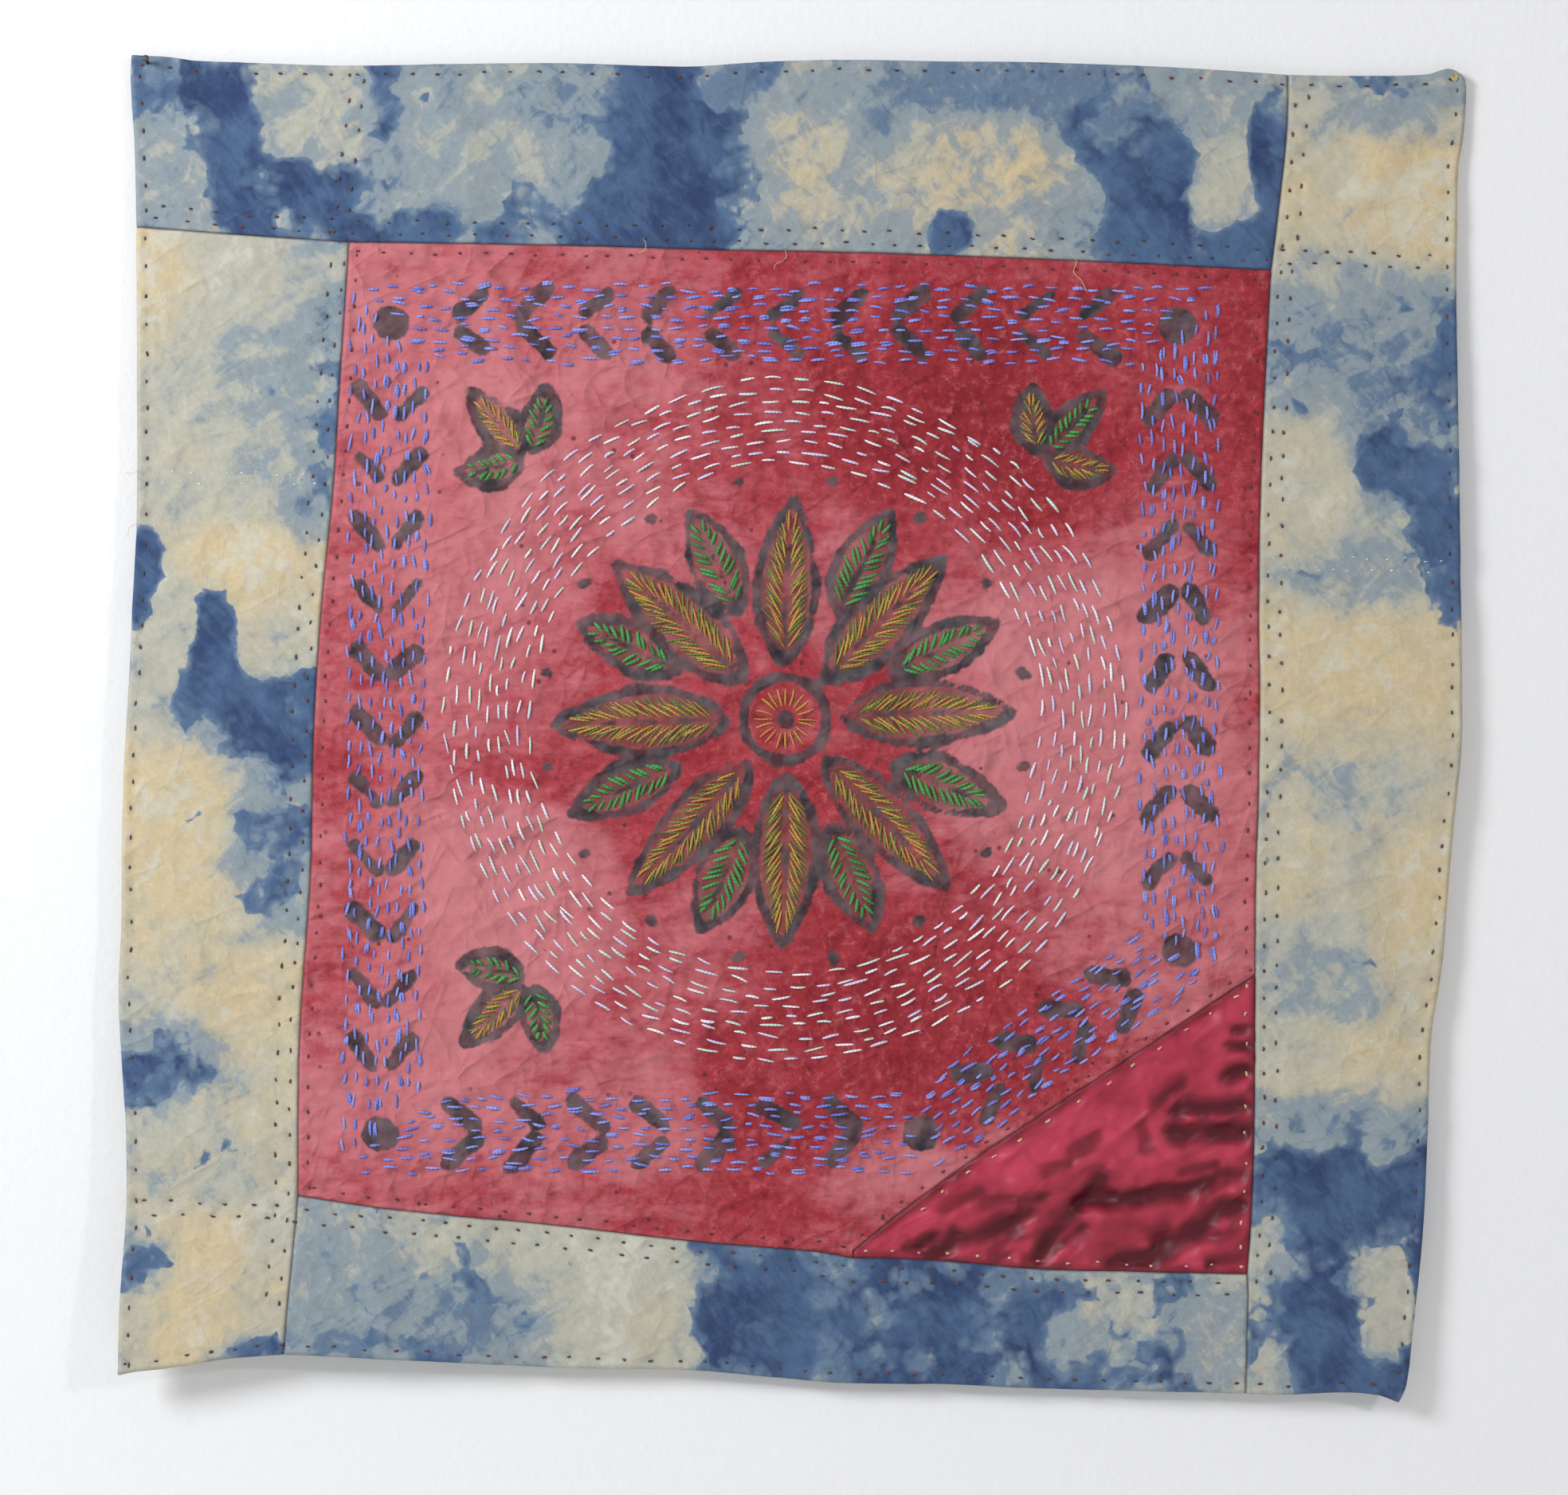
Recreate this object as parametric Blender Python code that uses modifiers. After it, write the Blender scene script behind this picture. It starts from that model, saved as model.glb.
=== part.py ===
"""A pieced cloth wall hanging: four dyed border strips round a red panel, hung from two nails.

It faces -Y, its top is at +Z, and the wall is the plane y = 0. The origin is on the wall, midway
between the two nails. The cloth stands off the wall, a little at the nails and more below them.
"""

import math
from collections import namedtuple

import bmesh
import bpy

MM = 0.001

# The cloth
CLOTH_THICK = 0.002
SEAM_GAP = 0.0003

# Each nail: where its axis meets the wall, how far it tips up, and its sizes
Nail = namedtuple("Nail", "x z tip_up proud head_r head_thick shank_r in_wall point")
NAIL_LEFT = Nail(
    x=-0.409, z=0.004, tip_up=math.radians(12), proud=0.0145,
    head_r=0.0022, head_thick=0.0009, shank_r=0.0010, in_wall=0.016, point=0.003,
)
NAIL_RIGHT = Nail(
    x=0.409, z=-0.004, tip_up=math.radians(4), proud=0.0064,
    head_r=0.0023, head_thick=0.0012, shank_r=0.0007, in_wall=0.011, point=0.002,
)
NAIL_STEPS = 16
HOLE_CLEARANCE = 0.0003
HOLE_CUT_LENGTH = 0.03

# Outer edges, as x, z in millimetres, each from left to right or from top to bottom
TOP_EDGE_LEFT = (
    (-419.3, 10.8), (-394.3, 9.3), (-379.8, 7.3), (-333.3, 5.3), (-288.3, 3.8), (-220.0, 4.8),
    (-152.8, 5.3), (-70.3, 3.3), (-18.8, 6.3), (28.8, 7.3), (97.3, 6.3), (147.3, 5.8),
    (232.3, 2.8), (304.8, -1.8),
)
TOP_EDGE_RIGHT = ((304.8, -1.8), (360.3, -2.3), (392.3, -1.3), (405.5, 2.2), (413.0, -0.8))
RIGHT_EDGE = (
    (413.0, -0.8), (416.3, -7.0), (414.8, -38.8), (411.3, -60.3), (410.3, -102.8), (409.8, -139.3),
    (411.3, -251.8), (412.8, -395.3), (412.3, -423.8), (408.3, -462.3), (403.8, -515.8),
    (400.3, -558.3), (393.3, -605.3), (391.0, -665.8), (387.8, -726.3), (381.3, -787.3),
    (377.0, -820.0), (372.3, -830.8),
)
BOTTOM_EDGE_LEFT = (
    (-423.8, -811.8), (-412.8, -809.8), (-394.3, -807.8), (-357.3, -802.3), (-321.8, -800.0),
)
BOTTOM_EDGE_MIDDLE = (
    (-321.8, -800.0), (-302.8, -800.8), (-152.8, -809.3), (-67.8, -811.3), (-18.8, -815.8),
    (25.8, -819.3), (92.8, -820.3), (147.3, -822.8), (277.3, -825.8),
)
BOTTOM_EDGE_RIGHT = ((277.3, -825.8), (303.3, -826.3), (337.3, -824.8), (359.3, -826.3), (372.3, -830.8))
LEFT_EDGE_TOP = (
    (-419.3, 10.8), (-419.8, -5.8), (-417.3, -43.8), (-416.3, -73.8), (-415.8, -97.3),
)
LEFT_EDGE_LOW = (
    (-415.8, -97.3), (-414.8, -221.8), (-414.8, -280.3), (-416.3, -308.8), (-419.3, -375.8),
    (-423.3, -452.3), (-424.3, -536.3), (-425.8, -574.3), (-423.3, -622.3), (-420.3, -660.3),
    (-419.8, -713.3), (-422.8, -762.3), (-423.8, -811.8),
)

# Seams, from left to right or from top to bottom
SEAM_TOP_LEFT = ((-415.8, -97.3), (-349.0, -102.3), (-282.8, -106.8))
SEAM_TOP_MIDDLE = (
    (-282.8, -106.8), (-152.8, -108.8), (-45.8, -111.8), (13.8, -112.8), (147.3, -117.3),
    (293.8, -124.3),
)
SEAM_LEFT_PANEL = (
    (-282.8, -106.8), (-288.8, -203.8), (-292.3, -261.3), (-299.8, -337.8), (-304.3, -414.3),
    (-306.3, -503.8), (-311.3, -574.3), (-313.3, -622.0), (-313.3, -701.8),
)
SEAM_LEFT_LOW = ((-313.3, -701.8), (-315.8, -731.3), (-320.3, -778.8), (-321.8, -800.0))
SEAM_RIGHT_TOP = ((304.8, -1.8), (303.8, -38.8), (297.3, -98.8), (293.8, -124.3))
SEAM_RIGHT_PANEL = (
    (293.8, -124.3), (290.3, -188.3), (286.8, -270.8), (285.8, -337.8), (286.3, -395.3),
    (285.3, -453.8), (283.8, -503.8), (283.4, -564.8),
)
SEAM_RIGHT_SATIN = ((283.4, -564.8), (282.8, -659.8), (280.8, -715.8), (278.3, -751.3))
SEAM_RIGHT_LOW = ((278.3, -751.3), (278.8, -765.0), (277.3, -825.8))
SEAM_BOTTOM_PANEL = (
    (-313.3, -701.8), (-251.8, -710.8), (-152.8, -720.8), (-67.8, -730.8), (7.8, -737.3),
    (32.0, -741.3),
)
SEAM_BOTTOM_SATIN = (
    (32.0, -741.3), (61.3, -741.8), (101.8, -744.3), (147.3, -748.3), (205.8, -749.8),
    (278.3, -751.3),
)
SEAM_CORNER = (
    (32.0, -737.3), (64.0, -711.3), (107.8, -679.8), (152.3, -650.3),
    (205.8, -615.8), (259.3, -580.3), (283.4, -564.8),
)
CORNER_TIP = ((32.0, -737.3), (32.0, -741.3))

# How far the cloth's back hangs off the wall, in millimetres: a column for each x, a row for each z
STAND_OFF_X = (-425.0, -145.0, 140.0, 415.0)
StandOff = namedtuple("StandOff", "z off")
STAND_OFF = (
    StandOff(z=10.0, off=(4.0, 6.0, 6.0, 3.5)),
    StandOff(z=-200.0, off=(9.5, 9.0, 8.5, 8.0)),
    StandOff(z=-400.0, off=(12.0, 12.5, 12.0, 10.0)),
    StandOff(z=-600.0, off=(14.5, 13.0, 12.0, 10.5)),
    StandOff(z=-830.0, off=(29.0, 13.5, 11.0, 14.5)),
)

# Soft folds, in millimetres: the line each follows, half its width, and its rise towards the room
Fold = namedtuple("Fold", "line width rise")
TOP_FOLDS = (
    Fold(line=((-404, 0), (-378, -28), (-350, -58)), width=8, rise=1.7),
    Fold(line=((-376, -6), (-338, -94)), width=12, rise=-1.3),
    Fold(line=((-223, -14), (-203, -94)), width=14, rise=1.2),
    Fold(line=((-68, 0), (-53, -104)), width=10, rise=-1.3),
    Fold(line=((122, -4), (142, -109)), width=14, rise=1.2),
    Fold(line=((236, -8), (228, -90)), width=11, rise=-1.0),
)
RIGHT_FOLDS = (
    Fold(line=((403, -12), (376, -46), (347, -84)), width=9, rise=1.7),
    Fold(line=((327, -164), (397, -194)), width=14, rise=1.3),
    Fold(line=((297, -334), (407, -319)), width=12, rise=-1.3),
    Fold(line=((317, -484), (397, -454)), width=14, rise=1.3),
    Fold(line=((347, -504), (367, -654)), width=16, rise=2.2),
    Fold(line=((317, -734), (372, -824)), width=20, rise=2.6),
)
LEFT_FOLDS = (
    Fold(line=((-403, -164), (-303, -194)), width=12, rise=-1.2),
    Fold(line=((-413, -334), (-313, -304)), width=14, rise=1.4),
    Fold(line=((-418, -454), (-313, -484)), width=12, rise=-1.3),
    Fold(line=((-383, -529), (-373, -654)), width=16, rise=2.0),
    Fold(line=((-418, -674), (-318, -664)), width=12, rise=1.4),
    Fold(line=((-403, -754), (-328, -794)), width=14, rise=-2.0),
)
BOTTOM_FOLDS = (
    Fold(line=((-263, -719), (-258, -804)), width=12, rise=1.3),
    Fold(line=((-183, -724), (-178, -804)), width=12, rise=-1.4),
    Fold(line=((-103, -734), (-103, -806)), width=12, rise=1.5),
    Fold(line=((-3, -744), (-8, -814)), width=10, rise=-1.5),
    Fold(line=((72, -749), (70, -816)), width=10, rise=1.6),
    Fold(line=((147, -754), (152, -819)), width=12, rise=-1.4),
    Fold(line=((222, -756), (225, -821)), width=12, rise=1.3),
)
PANEL_FOLDS = (
    Fold(line=((29, -119), (41, -198), (70, -232)), width=8, rise=-1.8),
    Fold(line=((47, -119), (60, -204)), width=10, rise=1.6),
    Fold(line=((-161, -186), (-69, -146)), width=9, rise=-1.5),
    Fold(line=((187, -164), (267, -214)), width=14, rise=1.5),
    Fold(line=((-250, -230), (-180, -300)), width=18, rise=1.6),
    Fold(line=((116, -348), (156, -359), (162, -405)), width=9, rise=-1.5),
    Fold(line=((172, -304), (237, -334)), width=12, rise=1.5),
    Fold(line=((-298, -454), (-268, -474)), width=8, rise=-1.4),
    Fold(line=((-193, -454), (-153, -470)), width=22, rise=2.2),
    Fold(line=((-203, -492), (-151, -484)), width=8, rise=-1.7),
    Fold(line=((-191, -520), (-159, -492)), width=8, rise=-1.4),
    Fold(line=((-203, -516), (-147, -544)), width=8, rise=-1.3),
    Fold(line=((-305, -571), (-268, -554)), width=8, rise=-1.5),
    Fold(line=((-310, -619), (-243, -591)), width=12, rise=1.6),
    Fold(line=((-268, -654), (-203, -704)), width=14, rise=1.7),
    Fold(line=((-153, -654), (-53, -704)), width=16, rise=-1.6),
    Fold(line=((27, -574), (122, -619)), width=14, rise=1.5),
    Fold(line=((197, -569), (267, -544)), width=9, rise=-1.6),
    Fold(line=((-60, -300), (60, -330)), width=20, rise=1.4),
    Fold(line=((190, -430), (262, -470)), width=16, rise=1.5),
)
SATIN_FOLDS = (
    Fold(line=((141, -739), (163, -715), (181, -692)), width=6, rise=-3.4),
    Fold(line=((164, -714), (188, -703), (227, -697), (258, -690), (277, -683)), width=5, rise=-3.0),
    Fold(line=((150, -741), (206, -739), (236, -724), (252, -710), (276, -703)), width=5, rise=-2.8),
    Fold(line=((179, -740), (188, -730), (206, -721)), width=4, rise=-1.6),
    Fold(line=((66, -730), (89, -726), (104, -720), (132, -710)), width=5, rise=-2.8),
    Fold(line=((236, -644), (256, -640), (276, -643)), width=4.5, rise=-2.4),
    Fold(line=((229, -656), (256, -660), (281, -655)), width=5, rise=-2.9),
    Fold(line=((216, -638), (233, -628)), width=4.5, rise=-1.6),
    Fold(line=((265, -603), (281, -604)), width=4, rise=-1.8),
    Fold(line=((267, -622), (281, -622)), width=4, rise=-1.8),
    Fold(line=((116, -701), (150, -697)), width=6, rise=-1.3),
    Fold(line=((145, -683), (159, -672), (181, -660)), width=7, rise=-1.4),
    Fold(line=((104, -703), (152, -687), (175, -669)), width=8, rise=2.4),
    Fold(line=((188, -687), (251, -676)), width=7, rise=2.2),
    Fold(line=((152, -733), (188, -715)), width=6, rise=2.4),
    Fold(line=((227, -737), (272, -715)), width=6, rise=2.2),
    Fold(line=((240, -649), (276, -650)), width=4, rise=1.4),
    Fold(line=((200, -645), (225, -662)), width=8, rise=1.6),
)
SATIN_FADE = 5.0  # the folds die away over this distance from the stitched edges

# How finely each piece is modelled
Grid = namedtuple("Grid", "columns rows")
GRID_TOP = Grid(columns=44, rows=7)
GRID_RIGHT = Grid(columns=8, rows=46)
GRID_BOTTOM = Grid(columns=38, rows=5)
GRID_LEFT = Grid(columns=8, rows=40)
GRID_PANEL = Grid(columns=34, rows=36)
GRID_SATIN = Grid(columns=30, rows=22)


def clear_scene():
    for obj in list(bpy.data.objects):
        bpy.data.objects.remove(obj, do_unlink=True)


def new_collection(name):
    collection = bpy.data.collections.new(name)
    bpy.context.scene.collection.children.link(collection)
    return collection


def new_material(name, colour, roughness, metallic=0.0):
    material = bpy.data.materials.new(name)
    material.use_nodes = True
    shader = material.node_tree.nodes["Principled BSDF"]
    shader.inputs["Base Color"].default_value = (*colour, 1.0)
    shader.inputs["Roughness"].default_value = roughness
    shader.inputs["Metallic"].default_value = metallic
    return material


def length_of(points):
    return sum(math.dist(a, b) for a, b in zip(points, points[1:]))


def smooth_line(points):
    """A smooth curve through the points, as a function of the share of its length."""
    stops = [0.0]
    for a, b in zip(points, points[1:]):
        stops.append(stops[-1] + math.dist(a, b))
    last = len(points) - 1

    def slope(index, axis):
        low, high = max(index - 1, 0), min(index + 1, last)
        return (points[high][axis] - points[low][axis]) / (stops[high] - stops[low])

    def at(share):
        along = share * stops[-1]
        index = max(i for i in range(last) if stops[i] <= along + 1e-9)
        span = stops[index + 1] - stops[index]
        t = (along - stops[index]) / span
        place = []
        for axis in (0, 1):
            start, end = points[index][axis], points[index + 1][axis]
            leave, arrive = slope(index, axis) * span, slope(index + 1, axis) * span
            place.append(
                (2 * t**3 - 3 * t**2 + 1) * start
                + (t**3 - 2 * t**2 + t) * leave
                + (3 * t**2 - 2 * t**3) * end
                + (t**3 - t**2) * arrive
            )
        return tuple(place)

    return at


def joined_line(steps, *pieces):
    """Several lines end to end as one function, each over a whole number of the grid's steps."""
    lengths = [length_of(points) for points in pieces]
    counts = [max(1, round(length / sum(lengths) * steps)) for length in lengths]
    counts[lengths.index(max(lengths))] += steps - sum(counts)
    stops = [sum(counts[:index]) / steps for index in range(len(counts) + 1)]
    lines = [smooth_line(points) for points in pieces]

    def at(share):
        index = max(i for i in range(len(lines)) if stops[i] <= share + 1e-9)
        return lines[index]((share - stops[index]) / (stops[index + 1] - stops[index]))

    return at


def cubic(before, start, end, after, t):
    return start + 0.5 * t * (
        end - before + t * (2 * before - 5 * start + 4 * end - after + t * (3 * (start - end) + after - before))
    )


def read_row(stops, values, at):
    """The value at a place along evenly changing stops, by a smooth curve through them."""
    last = len(stops) - 1
    rising = stops[-1] > stops[0]
    passed = [i for i in range(last) if (at >= stops[i]) == rising]
    index = max(passed, default=0)
    t = min(max((at - stops[index]) / (stops[index + 1] - stops[index]), 0.0), 1.0)
    before, after = values[max(index - 1, 0)], values[min(index + 2, last)]
    return cubic(before, values[index], values[index + 1], after, t)


def stand_off(x, z):
    rows = [read_row(STAND_OFF_X, row.off, x) for row in STAND_OFF]
    return read_row([row.z for row in STAND_OFF], rows, z)


def distance_to(line, x, z):
    nearest = math.inf
    for (ax, az), (bx, bz) in zip(line, line[1:]):
        dx, dz = bx - ax, bz - az
        share = ((x - ax) * dx + (z - az) * dz) / (dx * dx + dz * dz)
        share = min(max(share, 0.0), 1.0)
        nearest = min(nearest, math.hypot(x - ax - share * dx, z - az - share * dz))
    return nearest


def folds_at(folds, x, z):
    return sum(fold.rise * math.exp(-((distance_to(fold.line, x, z) / fold.width) ** 2)) for fold in folds)


def hang(x, z):
    """How far the cloth's back is off the wall at this place, with the folds all pieces share."""
    shared = TOP_FOLDS + RIGHT_FOLDS + LEFT_FOLDS + BOTTOM_FOLDS + PANEL_FOLDS
    return stand_off(x, z) + folds_at(shared, x, z)


def satin_hang(x, z):
    edges = (SEAM_CORNER, SEAM_BOTTOM_SATIN, SEAM_RIGHT_SATIN)
    inside = min(distance_to(edge, x, z) for edge in edges)
    fade = min(inside / SATIN_FADE, 1.0)
    return hang(x, z) + fade * folds_at(SATIN_FOLDS, x, z)


def patch_points(top, right, bottom, left, grid):
    """The grid's places inside four edges, with the edge rows drawn in by half a seam gap."""
    columns, rows = grid
    (tlx, tlz), (trx, trz) = top(0.0), top(1.0)
    (blx, blz), (brx, brz) = bottom(0.0), bottom(1.0)
    places = {}
    for i in range(columns + 1):
        u = i / columns
        (tx, tz), (bx, bz) = top(u), bottom(u)
        for j in range(rows + 1):
            v = j / rows
            (lx, lz), (rx, rz) = left(v), right(v)
            corner_x = (1 - v) * ((1 - u) * tlx + u * trx) + v * ((1 - u) * blx + u * brx)
            corner_z = (1 - v) * ((1 - u) * tlz + u * trz) + v * ((1 - u) * blz + u * brz)
            places[i, j] = [
                (1 - v) * tx + v * bx + (1 - u) * lx + u * rx - corner_x,
                (1 - v) * tz + v * bz + (1 - u) * lz + u * rz - corner_z,
            ]
    draw_in(places, columns, rows)
    return places


def draw_in(places, columns, rows):
    """Moves the outermost places inwards, each along the mitre of the two edges it joins."""
    half = SEAM_GAP / 2 / MM
    loop = [(i, 0) for i in range(columns)] + [(columns, j) for j in range(rows)]
    loop += [(columns - i, rows) for i in range(columns)] + [(0, rows - j) for j in range(rows)]
    moves = []
    for before, here, after in zip(loop[-1:] + loop[:-1], loop, loop[1:] + loop[:1]):
        ax, az = inward(places[before], places[here])
        bx, bz = inward(places[here], places[after])
        mitre = half / (1 + ax * bx + az * bz)
        moves.append((here, (ax + bx) * mitre, (az + bz) * mitre))
    for key, dx, dz in moves:
        places[key][0] += dx
        places[key][1] += dz


def inward(start, end):
    """The direction to the right of a step from start to end, inwards on a clockwise loop."""
    dx, dz = end[0] - start[0], end[1] - start[1]
    long = math.hypot(dx, dz)
    return dz / long, -dx / long


def cloth_piece(name, collection, material, grid, places, depth):
    """A sheet on these places, its back where depth says, thickened towards the room."""
    bm = bmesh.new()
    bmesh.ops.create_grid(bm, x_segments=grid.columns, y_segments=grid.rows, size=0.5)
    for vert in bm.verts:
        i = round((vert.co.x + 0.5) * grid.columns)
        j = round((0.5 - vert.co.y) * grid.rows)
        x, z = places[i, j]
        vert.co = (x * MM, -depth(x, z) * MM, z * MM)
    front = bmesh.ops.extrude_face_region(bm, geom=bm.faces[:])["geom"]
    moved = [item for item in front if isinstance(item, bmesh.types.BMVert)]
    bmesh.ops.translate(bm, verts=moved, vec=(0.0, -CLOTH_THICK, 0.0))
    bmesh.ops.recalc_face_normals(bm, faces=bm.faces[:])
    mesh = bpy.data.meshes.new(name)
    bm.to_mesh(mesh)
    bm.free()
    mesh.shade_smooth()
    mesh.set_sharp_from_angle(angle=math.radians(50))
    obj = bpy.data.objects.new(name, mesh)
    obj.data.materials.append(material)
    collection.objects.link(obj)
    return obj


def make_top(collection, material):
    grid = GRID_TOP
    places = patch_points(
        smooth_line(TOP_EDGE_LEFT),
        smooth_line(SEAM_RIGHT_TOP),
        joined_line(grid.columns, SEAM_TOP_LEFT, SEAM_TOP_MIDDLE),
        smooth_line(LEFT_EDGE_TOP),
        grid,
    )
    return cloth_piece("border_top", collection, material, grid, places, hang)


def make_right(collection, material):
    grid = GRID_RIGHT
    seams = (SEAM_RIGHT_TOP, SEAM_RIGHT_PANEL, SEAM_RIGHT_SATIN, SEAM_RIGHT_LOW)
    places = patch_points(
        smooth_line(TOP_EDGE_RIGHT),
        smooth_line(RIGHT_EDGE),
        smooth_line(BOTTOM_EDGE_RIGHT),
        joined_line(grid.rows, *seams),
        grid,
    )
    return cloth_piece("border_right", collection, material, grid, places, hang)


def make_bottom(collection, material):
    grid = GRID_BOTTOM
    places = patch_points(
        joined_line(grid.columns, SEAM_BOTTOM_PANEL, SEAM_BOTTOM_SATIN),
        smooth_line(SEAM_RIGHT_LOW),
        smooth_line(BOTTOM_EDGE_MIDDLE),
        smooth_line(SEAM_LEFT_LOW),
        grid,
    )
    return cloth_piece("border_bottom", collection, material, grid, places, hang)


def make_left(collection, material):
    grid = GRID_LEFT
    places = patch_points(
        smooth_line(SEAM_TOP_LEFT),
        joined_line(grid.rows, SEAM_LEFT_PANEL, SEAM_LEFT_LOW),
        smooth_line(BOTTOM_EDGE_LEFT),
        smooth_line(LEFT_EDGE_LOW),
        grid,
    )
    return cloth_piece("border_left", collection, material, grid, places, hang)


def make_panel(collection, material):
    """The red panel, whose lower edge turns up along the satin corner."""
    grid = GRID_PANEL
    places = patch_points(
        smooth_line(SEAM_TOP_MIDDLE),
        smooth_line(SEAM_RIGHT_PANEL),
        joined_line(grid.columns, SEAM_BOTTOM_PANEL, CORNER_TIP[::-1], SEAM_CORNER),
        smooth_line(SEAM_LEFT_PANEL),
        grid,
    )
    return cloth_piece("centre_panel", collection, material, grid, places, hang)


def make_satin(collection, material):
    grid = GRID_SATIN
    places = patch_points(
        smooth_line(SEAM_CORNER),
        smooth_line(SEAM_RIGHT_SATIN),
        smooth_line(SEAM_BOTTOM_SATIN),
        smooth_line(CORNER_TIP),
        grid,
    )
    return cloth_piece("satin_corner", collection, material, grid, places, satin_hang)


def lean(obj, nail):
    """Puts a shape whose length is on Z onto the nail's axis, head towards the room."""
    obj.location = (nail.x, 0.0, nail.z)
    obj.rotation_euler = (math.radians(90) - nail.tip_up, 0.0, 0.0)


def make_nail(name, collection, material, nail):
    """A turned nail: its profile runs from the top of the head down to the point."""
    top = nail.proud + nail.head_thick
    profile = (
        (0.0, top),
        (nail.head_r * 0.8, top - nail.head_thick * 0.12),
        (nail.head_r, top - nail.head_thick * 0.5),
        (nail.head_r * 0.9, nail.proud),
        (nail.shank_r, nail.proud - 0.0002),
        (nail.shank_r, nail.point - nail.in_wall),
        (0.0, -nail.in_wall),
    )
    bm = bmesh.new()
    verts = [bm.verts.new((x, 0.0, z)) for x, z in profile]
    for a, b in zip(verts, verts[1:]):
        bm.edges.new((a, b))
    mesh = bpy.data.meshes.new(name)
    bm.to_mesh(mesh)
    bm.free()
    obj = bpy.data.objects.new(name, mesh)
    collection.objects.link(obj)
    screw = obj.modifiers.new("turn", "SCREW")
    screw.steps = NAIL_STEPS
    screw.render_steps = NAIL_STEPS
    screw.use_merge_vertices = True
    screw.merge_threshold = 0.00001
    screw.use_normal_calculate = True
    obj.data.materials.append(material)
    lean(obj, nail)
    return obj


def cut_nail_hole(cloth, cutters, nail):
    """The hole that the shank makes in the cloth, a little wider than the shank."""
    bm = bmesh.new()
    radius = nail.shank_r + HOLE_CLEARANCE
    bmesh.ops.create_cone(
        bm, cap_ends=True, segments=NAIL_STEPS, radius1=radius, radius2=radius, depth=HOLE_CUT_LENGTH
    )
    mesh = bpy.data.meshes.new(cloth.name + "_hole")
    bm.to_mesh(mesh)
    bm.free()
    cutter = bpy.data.objects.new(cloth.name + "_hole", mesh)
    cutters.objects.link(cutter)
    lean(cutter, nail)
    cutter.hide_render = True
    cutter.display_type = "WIRE"
    cut = cloth.modifiers.new("nail_hole", "BOOLEAN")
    cut.operation = "DIFFERENCE"
    cut.solver = "EXACT"
    cut.object = cutter


def main():
    clear_scene()
    parts = new_collection("embroidered_wall_hanging")
    cutters = new_collection("cutters")

    dyed = {
        "border_top": new_material("indigo_cotton", (0.24, 0.32, 0.42), 0.9),
        "border_right": new_material("cream_blue_cotton", (0.47, 0.47, 0.42), 0.9),
        "border_bottom": new_material("mid_blue_cotton", (0.32, 0.40, 0.45), 0.9),
        "border_left": new_material("pale_blue_cotton", (0.46, 0.47, 0.43), 0.9),
    }
    red_cotton = new_material("red_cotton", (0.45, 0.13, 0.16), 0.9)
    satin = new_material("burgundy_satin", (0.33, 0.03, 0.07), 0.4)
    steel = new_material("steel", (0.35, 0.33, 0.31), 0.4, 1.0)
    brass = new_material("brass", (0.75, 0.58, 0.28), 0.3, 1.0)

    top = make_top(parts, dyed["border_top"])
    right = make_right(parts, dyed["border_right"])
    make_bottom(parts, dyed["border_bottom"])
    make_left(parts, dyed["border_left"])
    make_panel(parts, red_cotton)
    make_satin(parts, satin)
    make_nail("nail_left", parts, steel, NAIL_LEFT)
    make_nail("nail_right", parts, brass, NAIL_RIGHT)
    cut_nail_hole(top, cutters, NAIL_LEFT)
    cut_nail_hole(right, cutters, NAIL_RIGHT)


main()
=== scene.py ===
import math

import bmesh
import bpy
import numpy as np
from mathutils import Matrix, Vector


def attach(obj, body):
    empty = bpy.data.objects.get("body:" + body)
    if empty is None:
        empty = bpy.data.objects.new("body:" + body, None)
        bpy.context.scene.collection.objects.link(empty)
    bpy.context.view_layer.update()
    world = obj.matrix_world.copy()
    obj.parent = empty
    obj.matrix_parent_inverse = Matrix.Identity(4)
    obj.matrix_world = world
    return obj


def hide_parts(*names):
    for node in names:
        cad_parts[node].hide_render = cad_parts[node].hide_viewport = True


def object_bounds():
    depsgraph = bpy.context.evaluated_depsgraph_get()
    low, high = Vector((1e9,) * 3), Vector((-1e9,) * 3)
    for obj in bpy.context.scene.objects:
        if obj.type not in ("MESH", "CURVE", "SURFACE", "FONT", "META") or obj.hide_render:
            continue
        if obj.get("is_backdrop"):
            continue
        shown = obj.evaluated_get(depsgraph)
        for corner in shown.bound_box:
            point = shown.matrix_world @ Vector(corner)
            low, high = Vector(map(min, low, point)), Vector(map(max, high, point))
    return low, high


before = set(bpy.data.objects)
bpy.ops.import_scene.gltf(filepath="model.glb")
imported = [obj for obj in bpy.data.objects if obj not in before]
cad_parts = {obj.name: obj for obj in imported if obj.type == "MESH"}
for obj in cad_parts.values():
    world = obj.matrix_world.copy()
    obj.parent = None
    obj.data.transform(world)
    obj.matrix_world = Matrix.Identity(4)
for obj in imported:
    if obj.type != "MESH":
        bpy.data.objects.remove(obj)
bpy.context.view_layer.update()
print("frame loaded:", sorted(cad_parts))

mm = 0.001

# ---- Where the cloth lies, in millimetres as x, z: the same edges and seams as the solids

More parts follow.
